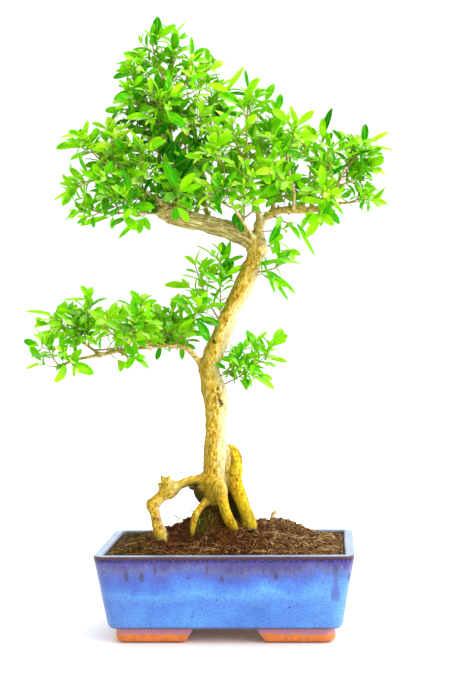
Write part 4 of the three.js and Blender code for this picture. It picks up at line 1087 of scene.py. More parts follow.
# The solids' thin boughs have a stout stand-in width. The real ones are finer.
THIN_FINER = 0.62
FINER = {"pad": 0.66, "right_up": 0.52, "right_front": 0.52, "right_back": 0.52, "middle_front": 0.52}
VOXEL = 0.8
FILLET = 1.4
LIMB_SIDES = 12
# A limb counts for the points up to this far from its middle line, and beyond it is as good as far away
LIMB_REACH, FAR_AWAY = 14, 60


def smooth_path(rows, steps=4):
    """A Catmull-Rom curve: between two rows, the cubic whose ends aim along their neighbours' chord."""
    rows = np.array(rows, float)
    first, last = 2 * rows[0] - rows[1], 2 * rows[-1] - rows[-2]
    p = np.concatenate([[first], rows, [last]])
    t = np.linspace(0, 1, steps, endpoint=False)[None, :, None]
    a, b, c, d = (p[i: len(p) - 3 + i, None] for i in range(4))
    curve = 0.5 * (2 * b + (c - a) * t + (2 * a - 5 * b + 4 * c - d) * t**2 + (3 * b - a - 3 * c + d) * t**3)
    return np.concatenate([curve.reshape(-1, rows.shape[1]), rows[-1:]])


def drawn_limbs():
    """Each limb's kind of bark and its smooth path."""
    limbs = []
    for name, rows in LIMBS.items():
        finer = FINER.get(name, 1 if name in THICK else THIN_FINER)
        limbs.append((name, smooth_path(np.array(rows, float) * (1, 1, 1, finer))))
    limbs += [("trunk", smooth_path(knot_rows(*knot))) for knot in KNOTS]
    for x, y, z, radius in BUMPS:
        kind = "trunk" if z > 128 else "root_front" if x > 0 else "root_left"
        limbs.append((kind, smooth_path(knot_rows(x, y, z, radius))))
    limbs += [("root_left", smooth_path(rows)) for rows in SPIKES]
    bough = smooth_path(LIMBS["right"])
    for i in range(SPURS):
        place = bough[int(len(bough) * (SPUR_FROM + (SPUR_TO - SPUR_FROM) * i / SPURS)), :3]
        turn, reach = math.tau * chance(71, i), 4 + 6 * chance(72, i)
        way = np.array((0.7 * math.cos(turn), 0.7 * math.sin(turn), 0.9 * chance(73, i) - 0.15))
        spur = [(*(place + t * reach * way), (1.2 - 0.5 * t) * SPUR_RADIUS) for t in (0.3, 0.65, 1)]
        limbs.append(("spur", smooth_path(spur)))
    return limbs + [("peat", smooth_path(rows)) for rows in PEAT]


def knot_rows(x, y, z, radius):
    """A small rounded lump, as a short upright limb."""
    return [(x, y, z + lift * radius, radius * (1 if lift == 0 else 0.55)) for lift in (-0.8, 0, 0.8)]


def limb_field(points, path):
    """For each point: its distance from the limb's skin, the way out from the middle line, and its place
    along and across the limb. Each piece of the path is a cone, and the nearest one counts."""
    start, reach = path[:-1, :3], np.diff(path[:, :3], axis=0)
    length = np.linalg.norm(reach, axis=1)
    offset = points[:, None] - start
    share = np.clip(np.einsum("nsi,si->ns", offset, reach) / length**2, 0, 1)
    away = offset - share[..., None] * reach
    radius = path[:-1, 3] + share * np.diff(path[:, 3])
    gap = np.linalg.norm(away, axis=2) - radius
    best = np.arange(len(points)), gap.argmin(axis=1)
    before = np.concatenate([[0], np.cumsum(length)])[best[1]]
    return gap[best], unit(away[best]), before + share[best] * length[best[1]], radius[best]


def blend_fields(points, paths):
    """The smooth union: minus the fillet times the log of the sum of exp(-distance / fillet). The shares of
    that sum also blend the limbs' directions. Only limbs near a point can matter to it."""
    gaps = np.full((len(paths), len(points)), float(FAR_AWAY))
    outs = np.zeros((len(paths), len(points), 3))
    for i, path in enumerate(paths):
        low, high = path[:, :3].min(axis=0) - LIMB_REACH, path[:, :3].max(axis=0) + LIMB_REACH
        near = ((points > low) & (points < high)).all(axis=1)
        if near.any():
            gaps[i, near], outs[i, near] = limb_field(points[near], path)[:2]
    closest = gaps.min(axis=0)
    weight = np.exp(-(gaps - closest) / FILLET)
    total = weight.sum(axis=0)
    weight /= total
    out = np.einsum("lni,ln->ni", outs, weight)
    crease = 1 - np.linalg.norm(out, axis=1)
    return closest - FILLET * np.log(total), unit(out), weight, crease


def mesh_points(mesh):
    """A mesh's points as an array, in millimetres from the pot's middle."""
    flat = np.zeros(3 * len(mesh.vertices), np.float32)
    mesh.vertices.foreach_get("co", flat)
    return (flat.reshape(-1, 3).astype(float) - POT_MIDDLE) / MM


def bark_relief(grain, radius, yellow, grey):
    """How far the bark stands out: long plates and ridges along the limb, and lumps. Roots are smoother."""
    plates = noise(grain * (0.42, 0.42, 0.2), 51)
    ridges = 1 - 2 * np.abs(noise(grain * (0.7, 0.7, 0.22), 52))
    lumps = noise(grain * (0.13, 0.13, 0.11), 53)
    fine = noise(grain * (1.0, 1.0, 0.6), 54)
    thick = np.clip(radius / 7, 0.15, 1)
    rough = 1 - 0.5 * yellow
    return thick * (0.45 * rough * plates + (0.25 + 0.3 * grey) * rough * ridges + 0.95 * lumps + 0.2 * fine)


def along_limbs(skin, nearest, paths):
    """Each point's place across and along its nearest limb, and the limb's radius there. A hundred times
    the limb's number keeps two limbs' patterns apart."""
    grain, radius = np.zeros_like(skin), np.zeros(len(skin))
    for i, path in enumerate(paths):
        mine = nearest == i
        if mine.any():
            _, outward, along, thickness = limb_field(skin[mine], path)
            chord = unit(path[-1, :3] - path[0, :3])
            guide = np.array((0, 1, 0) if abs(chord[2]) > STEEP else (0, 0, 1))
            side = unit(np.cross(guide, chord))
            reach = outward * thickness[:, None]
            grain[mine] = np.column_stack([reach @ side, reach @ guide, along + 100 * i])
            radius[mine] = thickness
    return grain, radius


def weathered_and_shaded(skin, out, crease, radius, kind, lodged_peat_and_shade, relief):
    """How dark the bark is made, from 0 to 1, by dirt and by painted shade, and the relief with its scars
    and its ragged end.
    """
    # Darkening: painted shade in the creases where limbs meet, dark lodged peat that is partly painted
    # shade, darker just above the soil, and olive on low roots
    above_soil = skin[:, 2] - soil_height(skin[:, 0], skin[:, 1])
    lodged_peat_and_shade = lodged_peat_and_shade * np.clip((PEAT_TOP - skin[:, 2]) / 8, 0, 1)
    dirt_and_shade = np.clip(1.6 * crease - 0.15, 0, 1) * np.clip(radius / 5, 0, 1)
    olive = 0.4 * kind[:, 0] * np.clip(1 - above_soil / 26, 0, 1)
    dirt_and_shade = np.maximum.reduce([dirt_and_shade, lodged_peat_and_shade, 0.75 * np.clip(1 - above_soil / 8, 0, 1), olive])
    # Scars, whose outlines a noise bends
    bent = skin + 1.3 * np.stack([noise(skin * 0.4, k) for k in (57, 58, 59)], axis=1)
    for x, y, z, reach, depth in HOLLOWS:
        dent = np.exp(-np.sum(((bent - (x, y, z)) / (reach, 2 * reach, 1.6 * reach)) ** 2, axis=1))
        relief = relief - depth * dent
        dirt_and_shade = np.maximum(dirt_and_shade, dent * (1 + 1.1 * noise(skin * 0.8, 56)))
    # Painted shade, with some moss, under the trunk's foot, most where it faces down
    mossy_shade = np.exp(-np.sum(((skin - MOSSY_SHADE) / MOSSY_SHADE_REACH) ** 2, axis=1)) * np.clip(0.8 - out[:, 2], 0.25, 1)
    dirt_and_shade = np.maximum(dirt_and_shade, 1.3 * mossy_shade)
    # The end of the cut bough is ragged
    broken = np.clip((-40 - skin[:, 0]) / 8, 0, 1) * kind[:, 1] * np.clip((skin[:, 2] - 300) / 10, 0, 1)
    return dirt_and_shade, relief + 1.6 * broken * noise(skin * 0.45, 55)


# %% The wood's skin
def make_tree(bark):
    """Tubes along all limbs, merged into one even skin. Its points move onto the blended surface, and then
    out by the bark's relief."""
    names, paths = zip(*drawn_limbs())
    blocks, points, start = [], [], 0
    for path in paths:
        rings, faces, size = tubes(path[None, :, :3], path[None, :, 3], LIMB_SIDES)
        blocks += [block + start for block in faces]
        points.append(rings)
        start += size
    tree = new_solid("tree_wood", np.concatenate(points), blocks)
    with_modifier(tree, "REMESH", mode="VOXEL", voxel_size=VOXEL * MM)
    mesh = tree.data
    skin = mesh_points(mesh)
    for _ in range(3):
        gap, out, weight, crease = blend_fields(skin, paths)
        skin = skin - np.clip(gap, -VOXEL, VOXEL)[:, None] * out

    grain, radius = along_limbs(skin, weight.argmax(axis=0), paths)
    kind = weight.T @ np.array([BARK_KINDS.get(name, THIN_KIND) for name in names])
    lodged_peat_and_shade = weight[np.array(names) == "peat"].sum(axis=0)
    relief = bark_relief(grain, radius, kind[:, 0], kind[:, 1])
    dirt_and_shade, relief = weathered_and_shaded(skin, out, crease, radius, kind, lodged_peat_and_shade, relief)
    skin = skin + relief[:, None] * out
    mesh.vertices.foreach_set("co", placed(skin).astype(np.float32).ravel())
    for label, value in (("grain", grain), ("bark_kind", kind), ("dirt_and_shade", dirt_and_shade)):
        give(mesh, label, value)
    mesh.shade_smooth()
    mesh.materials.clear()
    mesh.materials.append(bark)
    mesh.update()
    settle(tree, ["tree"])
    return len(mesh.polygons)


# %% [markdown]
# ## The bark's finish
#
# Young roots are smooth and a strong yellow, the trunk is tan with cream flakes, the sawn bough is grey
# and furrowed along its length, and the thin boughs are brown. One material does all four: the blended
# kinds on the points mix the colours, and the pattern reads each point's place along its own limb, so
# stretching it along the limb gives fibres that follow every bend.

# %% Bark
def make_bark():
    """Bark: ramps of colour along flakes and furrows, mixed by kind, then patches, painted shade and light
    on its two sides, cracks, and moss and dark brown from dirt and painted shade.
    """
    finish = Finish("bark", Specular_IOR_Level=0.12)
    grain, dirt_and_shade = finish.attribute("grain", "Vector"), finish.attribute("dirt_and_shade")
    kind = finish.attribute("bark_kind", "Vector")
    yellow, grey, thin = (kind.axis(letter) for letter in "XYZ")
    along = grain.stretched(1, 1, 0.5)

    flakes = along.rough(0.6, 6, 0.7, 0.5)
    broad = along.rough(0.1) - 0.5
    flaky = ((broad * 0.4 + flakes - 0.5) * 3 + 0.58).clamped()
    furrows = grain.stretched(1, 1, 0.1).rough(0.9, 5, 0.65)
    root = flaky.ramp((0, 104, 68, 0), (0.2, 168, 114, 2), (0.45, 218, 170, 6), (0.7, 244, 208, 28),
                      (1, 254, 236, 92))
    dead = ((furrows - 0.5) * 2.8 + 0.52).ramp((0, 94, 74, 34), (0.3, 156, 136, 76), (0.65, 208, 192, 116),
                                               (1, 244, 234, 174))
    bough = flaky.ramp((0, 104, 80, 28), (0.5, 186, 158, 76), (1, 240, 222, 144))
    finish.colour = flaky.ramp((0, 84, 58, 8), (0.18, 144, 102, 16), (0.4, 202, 154, 34),
                               (0.65, 234, 196, 70), (1, 254, 236, 142))
    for share, colour in ((yellow, root), (grey, dead), (thin, bough)):
        finish.colour = finish.colour.mixed(share, colour)

    # Rusty patches, olive painted shade on the side away from the key light, and pale cream painted light on
    # the side towards it
    finish.tint(along.rough(0.13).step(0.54, 0.68) * 0.3, 174, 116, 24)
    facing = finish.normal().axis("X")
    shaded = facing.step(0.25, -0.7) * broad.step(-0.14, 0.06) * (grey * -0.5 + 1)
    finish.tint(shaded * 0.6, 140, 124, 18)
    finish.tint(facing.step(0.15, 0.9) * (yellow * -0.55 + 0.55), 255, 246, 208)
    cracks = finish.effect(CRACKS, "Mask", Vector=grain.stretched(1, 1, 0.35), Scale=0.5, Width=0.03)
    finish.tint(cracks * 0.4, 92, 60, 16)
    # Moss creeps out of the dirt and the painted shade, and the darkest of them turn a dark brown, partly
    # dirt and partly painted shade
    finish.tint((broad + dirt_and_shade).step(0, 0.35) * 0.55, 146, 126, 8)
    finish.tint(((flakes - 0.5) * 1.2 + dirt_and_shade).step(0.3, 0.8) * 0.9, 42, 32, 8)
    return finish.with_relief(flaky * 0.2 + 0.6, furrows * 0.5 + flakes - cracks * 0.3, 0.9, 0.0016)


print("tree", make_tree(make_bark()), "faces")

# %% [markdown]
# ## How the foliage grows
#
# A serissa's leaves come in opposite pairs, each pair square to the one before, with a tuft at the tip of
# every twig. A cloud of scattered leaves would match the colour but not the habit. So each shoot follows
# the plant's own rule: a twig bows out and lifts to its tip, pairs of leaves sit at its nodes, and side
# twigs in the leaf axils end in tufts of their own. Seeds and draws are the same as in the solids, so the
# dressed shoots grow where the plain ones stand, and nodes in between make them as full as the real ones.

# %% Where the shoots grow
# Each is the limb it grows from, how far along it, and the tip of its twig. A zero marks a sparse one.
SHOOTS = {
    "leader": [
        ("leader", 1, (-56, -6, 470)), ("leader", 0.86, (-39, 6, 473)), ("leader", 0.74, (-25, -14, 449)),
        ("leader_left", 1, (-64, -26, 445)), ("leader_left", 0.7, (-71, -38, 425)),
        ("leader_left", 0.45, (-45, -46, 419)), ("leader_right", 1, (-15, 26, 452)),
        ("leader_right", 0.72, (-4, 20, 434)), ("leader_right", 0.5, (-17, -14, 406)),
        ("leader", 0.55, (-55, 34, 440)),
    ],
    "left": [
        ("left_upper", 1, (-106, -30, 389)), ("left_upper", 0.72, (-84, -38, 394)),
        ("left_upper", 0.42, (-61, -50, 382)), ("left_upper", 0.55, (-91, -52, 356)),
        ("left_back", 1, (-126, 38, 360)), ("left_back", 0.6, (-92, 52, 388)),
        ("left_lower", 1, (-102, -38, 336)), ("left_lower", 0.5, (-72, -56, 343)),
    ],
    "middle": [
        ("middle_back", 1, (-8, 46, 416)), ("middle_back", 0.6, (-26, 54, 394)),
        ("middle", 1, (20, -10, 422)), ("middle", 0.6, (9, -30, 398)), ("middle_front", 1, (-4, -54, 379)),
        ("middle_front", 0.55, (-10, -52, 349)), ("middle_front", 0.35, (19, -52, 363)),
        ("leader", 0.12, (-33, -42, 351)),
    ],
    "right": [
        ("right_up", 1, (40, 26, 408)), ("right_up", 0.5, (24, 44, 392)), ("right_front", 1, (59, -34, 395)),
        ("right_front", 0.5, (41, -50, 366)), ("right_back", 1, (63, 54, 389)),
        ("right_back", 0.6, (80, 52, 377)), ("right_tip", 1, (102, -10, 381)),
        ("right_tip", 0.75, (115, 10, 374)), ("right_tip", 0.4, (82, -24, 385)),
        ("right", 1, (112, 12, 347)), ("right", 0.8, (78, -36, 348)), ("right", 0.75, (78, -14, 322), 0),
        ("right", 0.35, (53, -16, 322), 0),
    ],
    "sprig": [
        ("trunk", 0.88, (46, -8, 291), 0), ("trunk", 0.97, (45, 11, 313), 0), ("trunk", 0.42, (38, -8, 226)),
        ("trunk", 0.46, (14, -16, 213)), ("trunk", 0.62, (-3, -10, 300)), ("trunk", 0.66, (-24, 6, 290)),
    ],
    "pad": [
        ("pad_left", 1, (-135, -4, 248)), ("pad", 0.97, (-137, -38, 229)),
        ("pad_left", 0.5, (-107, -24, 262)), ("pad_front", 1, (-91, -52, 246)),
        ("pad_front", 0.4, (-66, -46, 250)), ("pad_back", 1, (-106, 46, 249)),
        ("pad_back", 0.6, (-72, 36, 257)), ("pad", 0.36, (-41, -14, 254)), ("pad", 0.3, (-20, -24, 257)),
        ("pad", 0.62, (-69, -28, 218), 0),
    ],
}

# Wood that is kept bare in front, as shares of a limb, and how far past its edge no leaf may hang
BARE = {"cut": (0.0, 0.9, 1), "right": (0.2, 0.72, 3), "trunk": (0.0, 1.0, 0), "pad": (0.0, 0.8, 2)}

# Gaps in the foliage that the front sees through, as x, z and radius
GAPS = [(-75, 472, 6), (-61, 220, 4), (-51, 220, 4), (-41, 220, 4), (-32, 218, 4), (-72, 203, 6),
        (-91, 211, 4), (81, 312, 6), (90, 312, 5)]

# %% How a twig runs
TWIG_RADIUS, TWIG_TIP_RADIUS, SIDE_TWIG_RADIUS = 0.72, 0.45, 0.45
TWIG_BOW, TWIG_SAG = 0.16, 0.1
LONG_TWIG, SHORT_TWIG = 42, 30
# The solids' own nodes, and the nodes in between
LONG_NODES = (0.36, 0.58, 0.8), (0.47, 0.69, 0.9)
SHORT_NODES = (0.42, 0.72), (0.57, 0.86)
TWIGLET_LENGTH, TWIGLET_SPREAD = 11, 5
LEAF_LENGTH, LEAF_SPREAD = 17, 5.5
TWIG_STEPS, TWIG_SIDES = 8, 5


def place_along(name, share):
    """The point a share of the way along a limb."""
    rows = np.array(LIMBS[name], float)[:, :3]
    lengths = np.linalg.norm(np.diff(rows, axis=0), axis=1)
    reach = np.concatenate([[0], np.cumsum(lengths)])
    return np.array([np.interp(share * reach[-1], reach, rows[:, axis]) for axis in range(3)])


def twig_middle(root, tip):
    """The control point of the twig's curve: it first reaches outwards and sags, and then lifts."""
    straight = tip - root
    bow = np.array([TWIG_BOW * straight[0], TWIG_BOW * straight[1], -TWIG_SAG * np.linalg.norm(straight)])
    return (root + tip) / 2 + bow


def twig_point(root, middle, tip, share):
    """A quadratic curve: the three points weighted by (1 - t)², 2t(1 - t) and t²."""
    t = np.asarray(share)[..., None]
    return (1 - t) ** 2 * root + 2 * t * (1 - t) * middle + t**2 * tip


def twig_frame(root, middle, tip, share):
    """The twig's direction at a share, and two directions square to it."""
    straight = unit(tip - root)
    guide = np.array((0, 0, 1) if abs(straight[2]) < STEEP else (0, 1, 0))
    along = unit(2 * (1 - share) * (middle - root) + 2 * share * (tip - middle))
    side = unit(np.cross(guide, along))
    return along, side, np.cross(along, side)


def on_twig(curve, share):
    """A point of the twig's curve and the frame there."""
    return twig_point(*curve, share), twig_frame(*curve, share)


def leaf_pose(along, side, upper, turn, angle, roll):
    """A leaf's direction, at an angle from the twig and a turn round it, and its face, turned to the sky."""
    out = math.cos(turn) * side + math.sin(turn) * upper
    direction = math.cos(angle) * along + math.sin(angle) * out
    face = unit(along - (along @ direction) * direction) + np.array((0, 0, 0.6))
    face = unit(face - (face @ direction) * direction)
    return direction, math.cos(roll) * face + math.sin(roll) * np.cross(direction, face)


def part_of_limb(name, start, stop):
    """The rows of a limb's smooth path from one share of it to another."""
    path = smooth_path(LIMBS[name])
    return path[int((len(path) - 1) * start):int((len(path) - 1) * stop)]


# A gap lies behind all the leaves
BARE_ROWS = np.concatenate(
    [part_of_limb(name, start, stop) + (0, 0, 0, past) for name, (start, stop, past) in BARE.items()]
    + [[(x, 99, z, radius) for x, z, radius in GAPS]])


def hides_wood(points):
    """Whether any of the points lies in front of bare wood or of a gap: nearer to its middle line than its
    radius, as the front sees it."""
    reach = points[:, None] - BARE_ROWS[:, :3]
    return bool(((np.hypot(reach[..., 0], reach[..., 2]) < BARE_ROWS[:, 3]) & (reach[..., 1] < 0)).any())


# %% A shoot: its twigs and its leaves
class Shoot:
    """Gathers the twigs and leaves of one shoot, as rows for the surface functions below. Draws up to 200
    are the solids' own, and those that the dressing adds come after them."""

    def __init__(self, seed):
        self.seed, self.twigs, self.leaves, self.draw = seed, [], [], 200

    def roll_dice(self):
        """The next free draw of this shoot."""
        self.draw += 1
        return chance(self.seed, self.draw)

    def twig(self, path, start_radius, end_radius, start_tone, end_tone):
        """A twig whose radius and tone change evenly along it."""
        radii = np.linspace(start_radius, end_radius, TWIG_STEPS)
        self.twigs.append((path, radii, np.linspace(start_tone, end_tone, TWIG_STEPS)))

    def leaf(self, point, frame_at, turn, angle, draw, size, tone):
        """One leaf. The draw sets its length and its roll, as it does in the solids."""
        length = size * (LEAF_LENGTH + LEAF_SPREAD * (2 * chance(self.seed, draw) - 1))
        roll = 0.6 * (2 * chance(self.seed, draw + 0.5) - 1)
        tone = tone + 0.3 * (chance(self.seed, draw + 0.7) - 0.5)
        direction, face = leaf_pose(*frame_at, turn, angle, roll)
        if not hides_wood(point + np.outer((0.3, 0.6, 0.9), length * direction)):
            self.leaves.append((point, direction, face, length, tone, 0))

    def pair(self, point, frame_at, turn, angle, draws, size, tone):
        """Two leaves on opposite sides of the twig."""
        for i, draw in enumerate(draws):
            self.leaf(point, frame_at, turn + i * math.pi, angle, draw, size, tone)

    def tuft(self, point, frame_at, turn, angle, draws, size, tone):
        """The end of a twig: a pair of leaves, and a smaller, younger pair inside it."""
        self.pair(point, frame_at, turn, angle, draws, size, tone)
        young = (self.draw + 0.25, self.draw + 0.75)
        self.draw += 1
        self.pair(point, frame_at, turn + math.pi / 2, 0.55 * angle, young, 0.5 * size, tone + 0.25)

    def side_twig(self, point, frame_at, turn, length, draws, size, tone, sparse=False):
        """A short side twig with a pair half way, unless it is sparse, and a tuft at its end."""
        direction, face = leaf_pose(*frame_at, turn, 0.8, 0)
        end = point + direction * length
        bow = np.array((0, 0, -0.08 * length))
        path = twig_point(point, (point + end) / 2 + bow, end, np.linspace(0, 1, TWIG_STEPS))
        self.twig(path, SIDE_TWIG_RADIUS, 0.35, 0.35, 0.9)
        here = (direction, np.cross(face, direction), face)
        self.tuft(end, here, 0, 0.6, draws, size, tone)
        half = (draws[0] + 0.3, draws[1] + 0.3)
        if not sparse:
            self.pair(path[TWIG_STEPS // 2], here, math.pi / 2, 0.95, half, 0.7 * size, tone - 0.08)


def grow(seed, limb, share, tip, fullness=1.0, age_and_shade=0.0):
    """One shoot. Its main nodes have the solids' own draws, and the nodes in between are drawn afresh."""
    shoot = Shoot(seed)
    root, tip = place_along(limb, share), np.array(tip, float)
    curve = (root, twig_middle(root, tip), tip)
    path = twig_point(*curve, np.linspace(0, 1, TWIG_STEPS))
    length = np.linalg.norm(np.diff(path, axis=0), axis=1).sum()
    shoot.twig(path, TWIG_RADIUS, TWIG_TIP_RADIUS, 0.0, 0.8)
    turn = chance(seed, 1) * math.pi
    nodes, between = LONG_NODES if length > LONG_TWIG else SHORT_NODES
    side_twigs = 2 if length > SHORT_TWIG else 1
    # Leaves of the twigs that fill the crown are darker, for age and as painted shade
    tone = 0.3 + 0.3 * chance(seed, 5) - age_and_shade

    for i, at in enumerate(nodes):
        point, frame_at = on_twig(curve, at)
        node_turn = turn + (i % 2) * math.pi / 2
        shoot.pair(point, frame_at, node_turn, 1.15 - 0.35 * at, (20 + i, 40 + i), 1.0, tone)
        twiglet = TWIGLET_LENGTH + TWIGLET_SPREAD * chance(seed, 70 + i)
        if i < side_twigs:
            side_turn = node_turn + math.pi / 2 + i * math.pi
            shoot.side_twig(point, frame_at, side_turn, twiglet, (90 + i, 92 + i), 1.0, tone, fullness == 0)
        if shoot.roll_dice() < 0.75 * fullness:
            side_turn = node_turn - math.pi / 2 + i * math.pi
            shoot.side_twig(point, frame_at, side_turn, 0.8 * twiglet, (110 + i, 112 + i), 0.85, tone)
    for i, at in enumerate(between):
        point, frame_at = on_twig(curve, at)
        node_turn = turn + math.pi / 4 + (i % 2) * math.pi / 2
        if shoot.roll_dice() < 0.85 * fullness:
            shoot.pair(point, frame_at, node_turn, 1.05 - 0.3 * at, (130 + i, 140 + i), 0.85, tone)
        if shoot.roll_dice() < 0.65 * fullness:
            side_turn = node_turn + math.pi / 2
            shoot.side_twig(point, frame_at, side_turn, 9, (150 + i, 160 + i), 0.75, tone + 0.05)
    end_turn = turn + (len(nodes) % 2) * math.pi / 2
    if fullness:
        shoot.tuft(*on_twig(curve, 1.0), end_turn, 0.5, (60, 61), 0.9, tone + 0.1)
    return shoot


# %% Leaf blades, all at once
LEAF_STEPS = np.array([0.03, 0.1, 0.24, 0.42, 0.6, 0.77, 0.91])
# Across a leaf: left edge, left of the rib, the rib, right of the rib, right edge, and the rib below
LEAF_ACROSS = np.array([-1, -0.5, 0, 0.5, 1, 0])
LEAF_LIFT = np.array([0, 0.16, 0.04, 0.16, 0, -0.22])
LEAF_SHARP = np.array([1, 0, 0, 0, 1, 0], bool)


def leaf_outline(share):
    """Half the width, as a share of its greatest: a blunt sine hump, narrowed to a stalk at the base."""
    stalk = np.clip((share - 0.02) / 0.2, 0, 1)
    return np.sin(np.pi * share**1.2) ** 0.72 * (0.12 + 0.88 * stalk * stalk * (3 - 2 * stalk))


def leaf_blades(rows, seed):
    """Thin closed blades. Along a leaf the middle line bends back evenly: its angle grows with the share.
    Across it, the halves fold up a little from the rib, and the whole blade twists towards its tip. A leaf
    whose width is given as 0 gets a drawn one."""
    count = len(rows)
    base, direction, face, length, tone, width = (np.array(column, float) for column in zip(*rows))
    draws = np.random.default_rng(seed)
    bend = draws.uniform(0.15, 0.75, count)
    fold, twist = draws.uniform(0.1, 0.5, count), draws.normal(0, 0.28, count)
    slim = np.where(width > 0, width / length, draws.uniform(0.29, 0.42, count))
    side = np.cross(face, direction)
    s = LEAF_STEPS[None, :]
    angle, turn = bend[:, None] * s, twist[:, None] * s
    ahead = length[:, None] * (s - bend[:, None] ** 2 * s**3 / 6)
    back = length[:, None] * bend[:, None] * s**2 / 2
    centre = base[:, None] + ahead[..., None] * direction[:, None] - back[..., None] * face[:, None]
    normal = np.cos(angle)[..., None] * face[:, None] + np.sin(angle)[..., None] * direction[:, None]
    across = np.cos(turn)[..., None] * side[:, None] + np.sin(turn)[..., None] * normal
    normal = np.cos(turn)[..., None] * normal - np.sin(turn)[..., None] * side[:, None]
    half = 0.5 * (slim * length)[:, None] * leaf_outline(s)
    out = half[..., None] * LEAF_ACROSS
    rise = fold[:, None, None] * np.abs(out) + LEAF_LIFT
    points = centre[:, :, None] + out[..., None] * across[:, :, None] + rise[..., None] * normal[:, :, None]
    tip_angle = bend[:, None]
    tip = base + length[:, None] * ((1 - tip_angle**2 / 6) * direction - tip_angle / 2 * face)
    ends = np.stack([base, tip], axis=1)
    points = np.concatenate([points.reshape(count, -1, 3), ends], axis=1)

    size, columns = points.shape[1], len(LEAF_ACROSS)
    blocks = closed_faces(len(LEAF_STEPS), columns)
    faces = copied(blocks, count, size)
    below = [np.tile(np.arange(len(block)) % columns >= 4, count) for block in blocks]
    u = np.concatenate([np.tile(0.5 + 0.5 * LEAF_ACROSS, len(LEAF_STEPS)), [0.5, 0.5]])
    v = np.concatenate([LEAF_STEPS.repeat(columns), [0, 1]])
    sharp = np.concatenate([np.tile(LEAF_SHARP, len(LEAF_STEPS)), [True, True]])
    uv = np.tile(np.column_stack([u, v]), (count, 1))
    return points.reshape(-1, 3), faces, uv, tone.repeat(size), np.tile(sharp, count), below


# %% [markdown]
# ## The leaves' finish
#
# A serissa leaf is bright and a little glossy above, with a pale rib, and paler and dull below. Light
# passes through it, which makes a backlit leaf glow yellow-green. A thin closed blade with subsurface
# scattering does that without a second shader. The tone on the points runs from an old dark leaf to a
# young yellow one.

# %% Leaf and twig materials
TOWARDS_LIGHT = (0.49, -0.09, 0.87)


def make_leaf(name, below):
    """A leaf: the tone picks its green, and a rib and slanting veins are paler. Its lower side is duller."""
    finish = Finish(name, Subsurface_Weight=0.3, Subsurface_Radius=(0.35, 1, 0.05), Subsurface_Scale=0.0008,
                    Specular_IOR_Level=0.04)
    uneven = finish.place.rough(0.12, 2)
    finish.colour = ((uneven - 0.5) * 0.5 + finish.attribute("tone")).ramp(
        (0, 0, 100, 0), (0.25, 46, 156, 0), (0.5, 122, 204, 0), (0.75, 170, 222, 20), (1, 204, 234, 100))
    # The side that the light falls on is paler
    lit = finish.normal().with_vector("DOT_PRODUCT", TOWARDS_LIGHT, "Value").step(0.5, 1)
    finish.tint(lit * 0.3, 238, 246, 160)
    flat = add(finish.graph, "UVMap", {"uv_map": "UVMap"})
    from_rib = abs(flat.axis("X") - 0.5)
    rib = from_rib.step(0.075, 0.02)
    # Side veins leave the rib at a slant: a wave of the place along the leaf less the distance from the rib
    veins = ((flat.axis("Y") - from_rib * 0.5) * 58).maths("SINE").step(0.72, 1)
    pale = finish.colour.mixed(0.5, screen(204, 238, 60))
    finish.colour = finish.colour.mixed(veins * 0.12, pale).mixed(rib * 0.4, pale)
    if below:
        finish.tint(0.18, 166, 218, 30)
    roughness, relief = (0.6, 0.5) if below else (0.45, 0.3)
    return finish.with_relief(uneven * 0.2 + roughness, veins * 0.4 + rib, relief, 0.0002)


LEAF_ABOVE, LEAF_BELOW = make_leaf("leaf_above", False), make_leaf("leaf_below", True)
# Twigs are brown and woody at the base, and pale green where they are young
TWIG_BARK = make_toned("twig_bark", 0.5, 0.6, 0.6, (0, 132, 104, 50), (0.45, 166, 144, 66),
                       (0.7, 152, 168, 58), (1, 146, 202, 60))

# %% [markdown]
# ## Dressing the shoots
#
# Each solid shoot gets one piece: all its twigs as tubes and all its leaves as blades, in one mesh with
# three finishes. Other twigs are too fine to have a solid: short leafy ones that fill the crown's inside,
# and single ones that stand out of it and give the tree its feathery outline.

# %% The leafy pieces
def make_foliage(name, shoots, stands_for):
    """One piece with the twigs and leaves of one or more shoots."""
    twigs = [row for shoot in shoots for row in shoot.twigs]
    leaves = [row for shoot in shoots for row in shoot.leaves]
    paths, radii, tones = (np.array(column) for column in zip(*twigs))
    twig_points, twig_faces, _ = tubes(paths, radii, TWIG_SIDES)
    twig_tone = np.concatenate([tones.repeat(TWIG_SIDES, axis=1), tones[:, [0, -1]]], axis=1).ravel()
    leaf_points, leaf_faces, uv, tone, sharp, below = leaf_blades(leaves, int(10 * shoots[0].seed))
    leaf_faces = [block + len(twig_points) for block in leaf_faces]
    finish = [np.full(len(block), 2) for block in twig_faces] + [b.astype(int) for b in below]
    blank = np.zeros((len(twig_points), 2))
    make_piece(
        name, np.concatenate([twig_points, leaf_points]), twig_faces + leaf_faces,
        [LEAF_ABOVE, LEAF_BELOW, TWIG_BARK], stands_for, np.concatenate([twig_tone, tone]),
        np.concatenate([blank, uv]), np.concatenate(finish),
        np.concatenate([np.zeros(len(twig_points), bool), sharp]))
    return len(leaves)


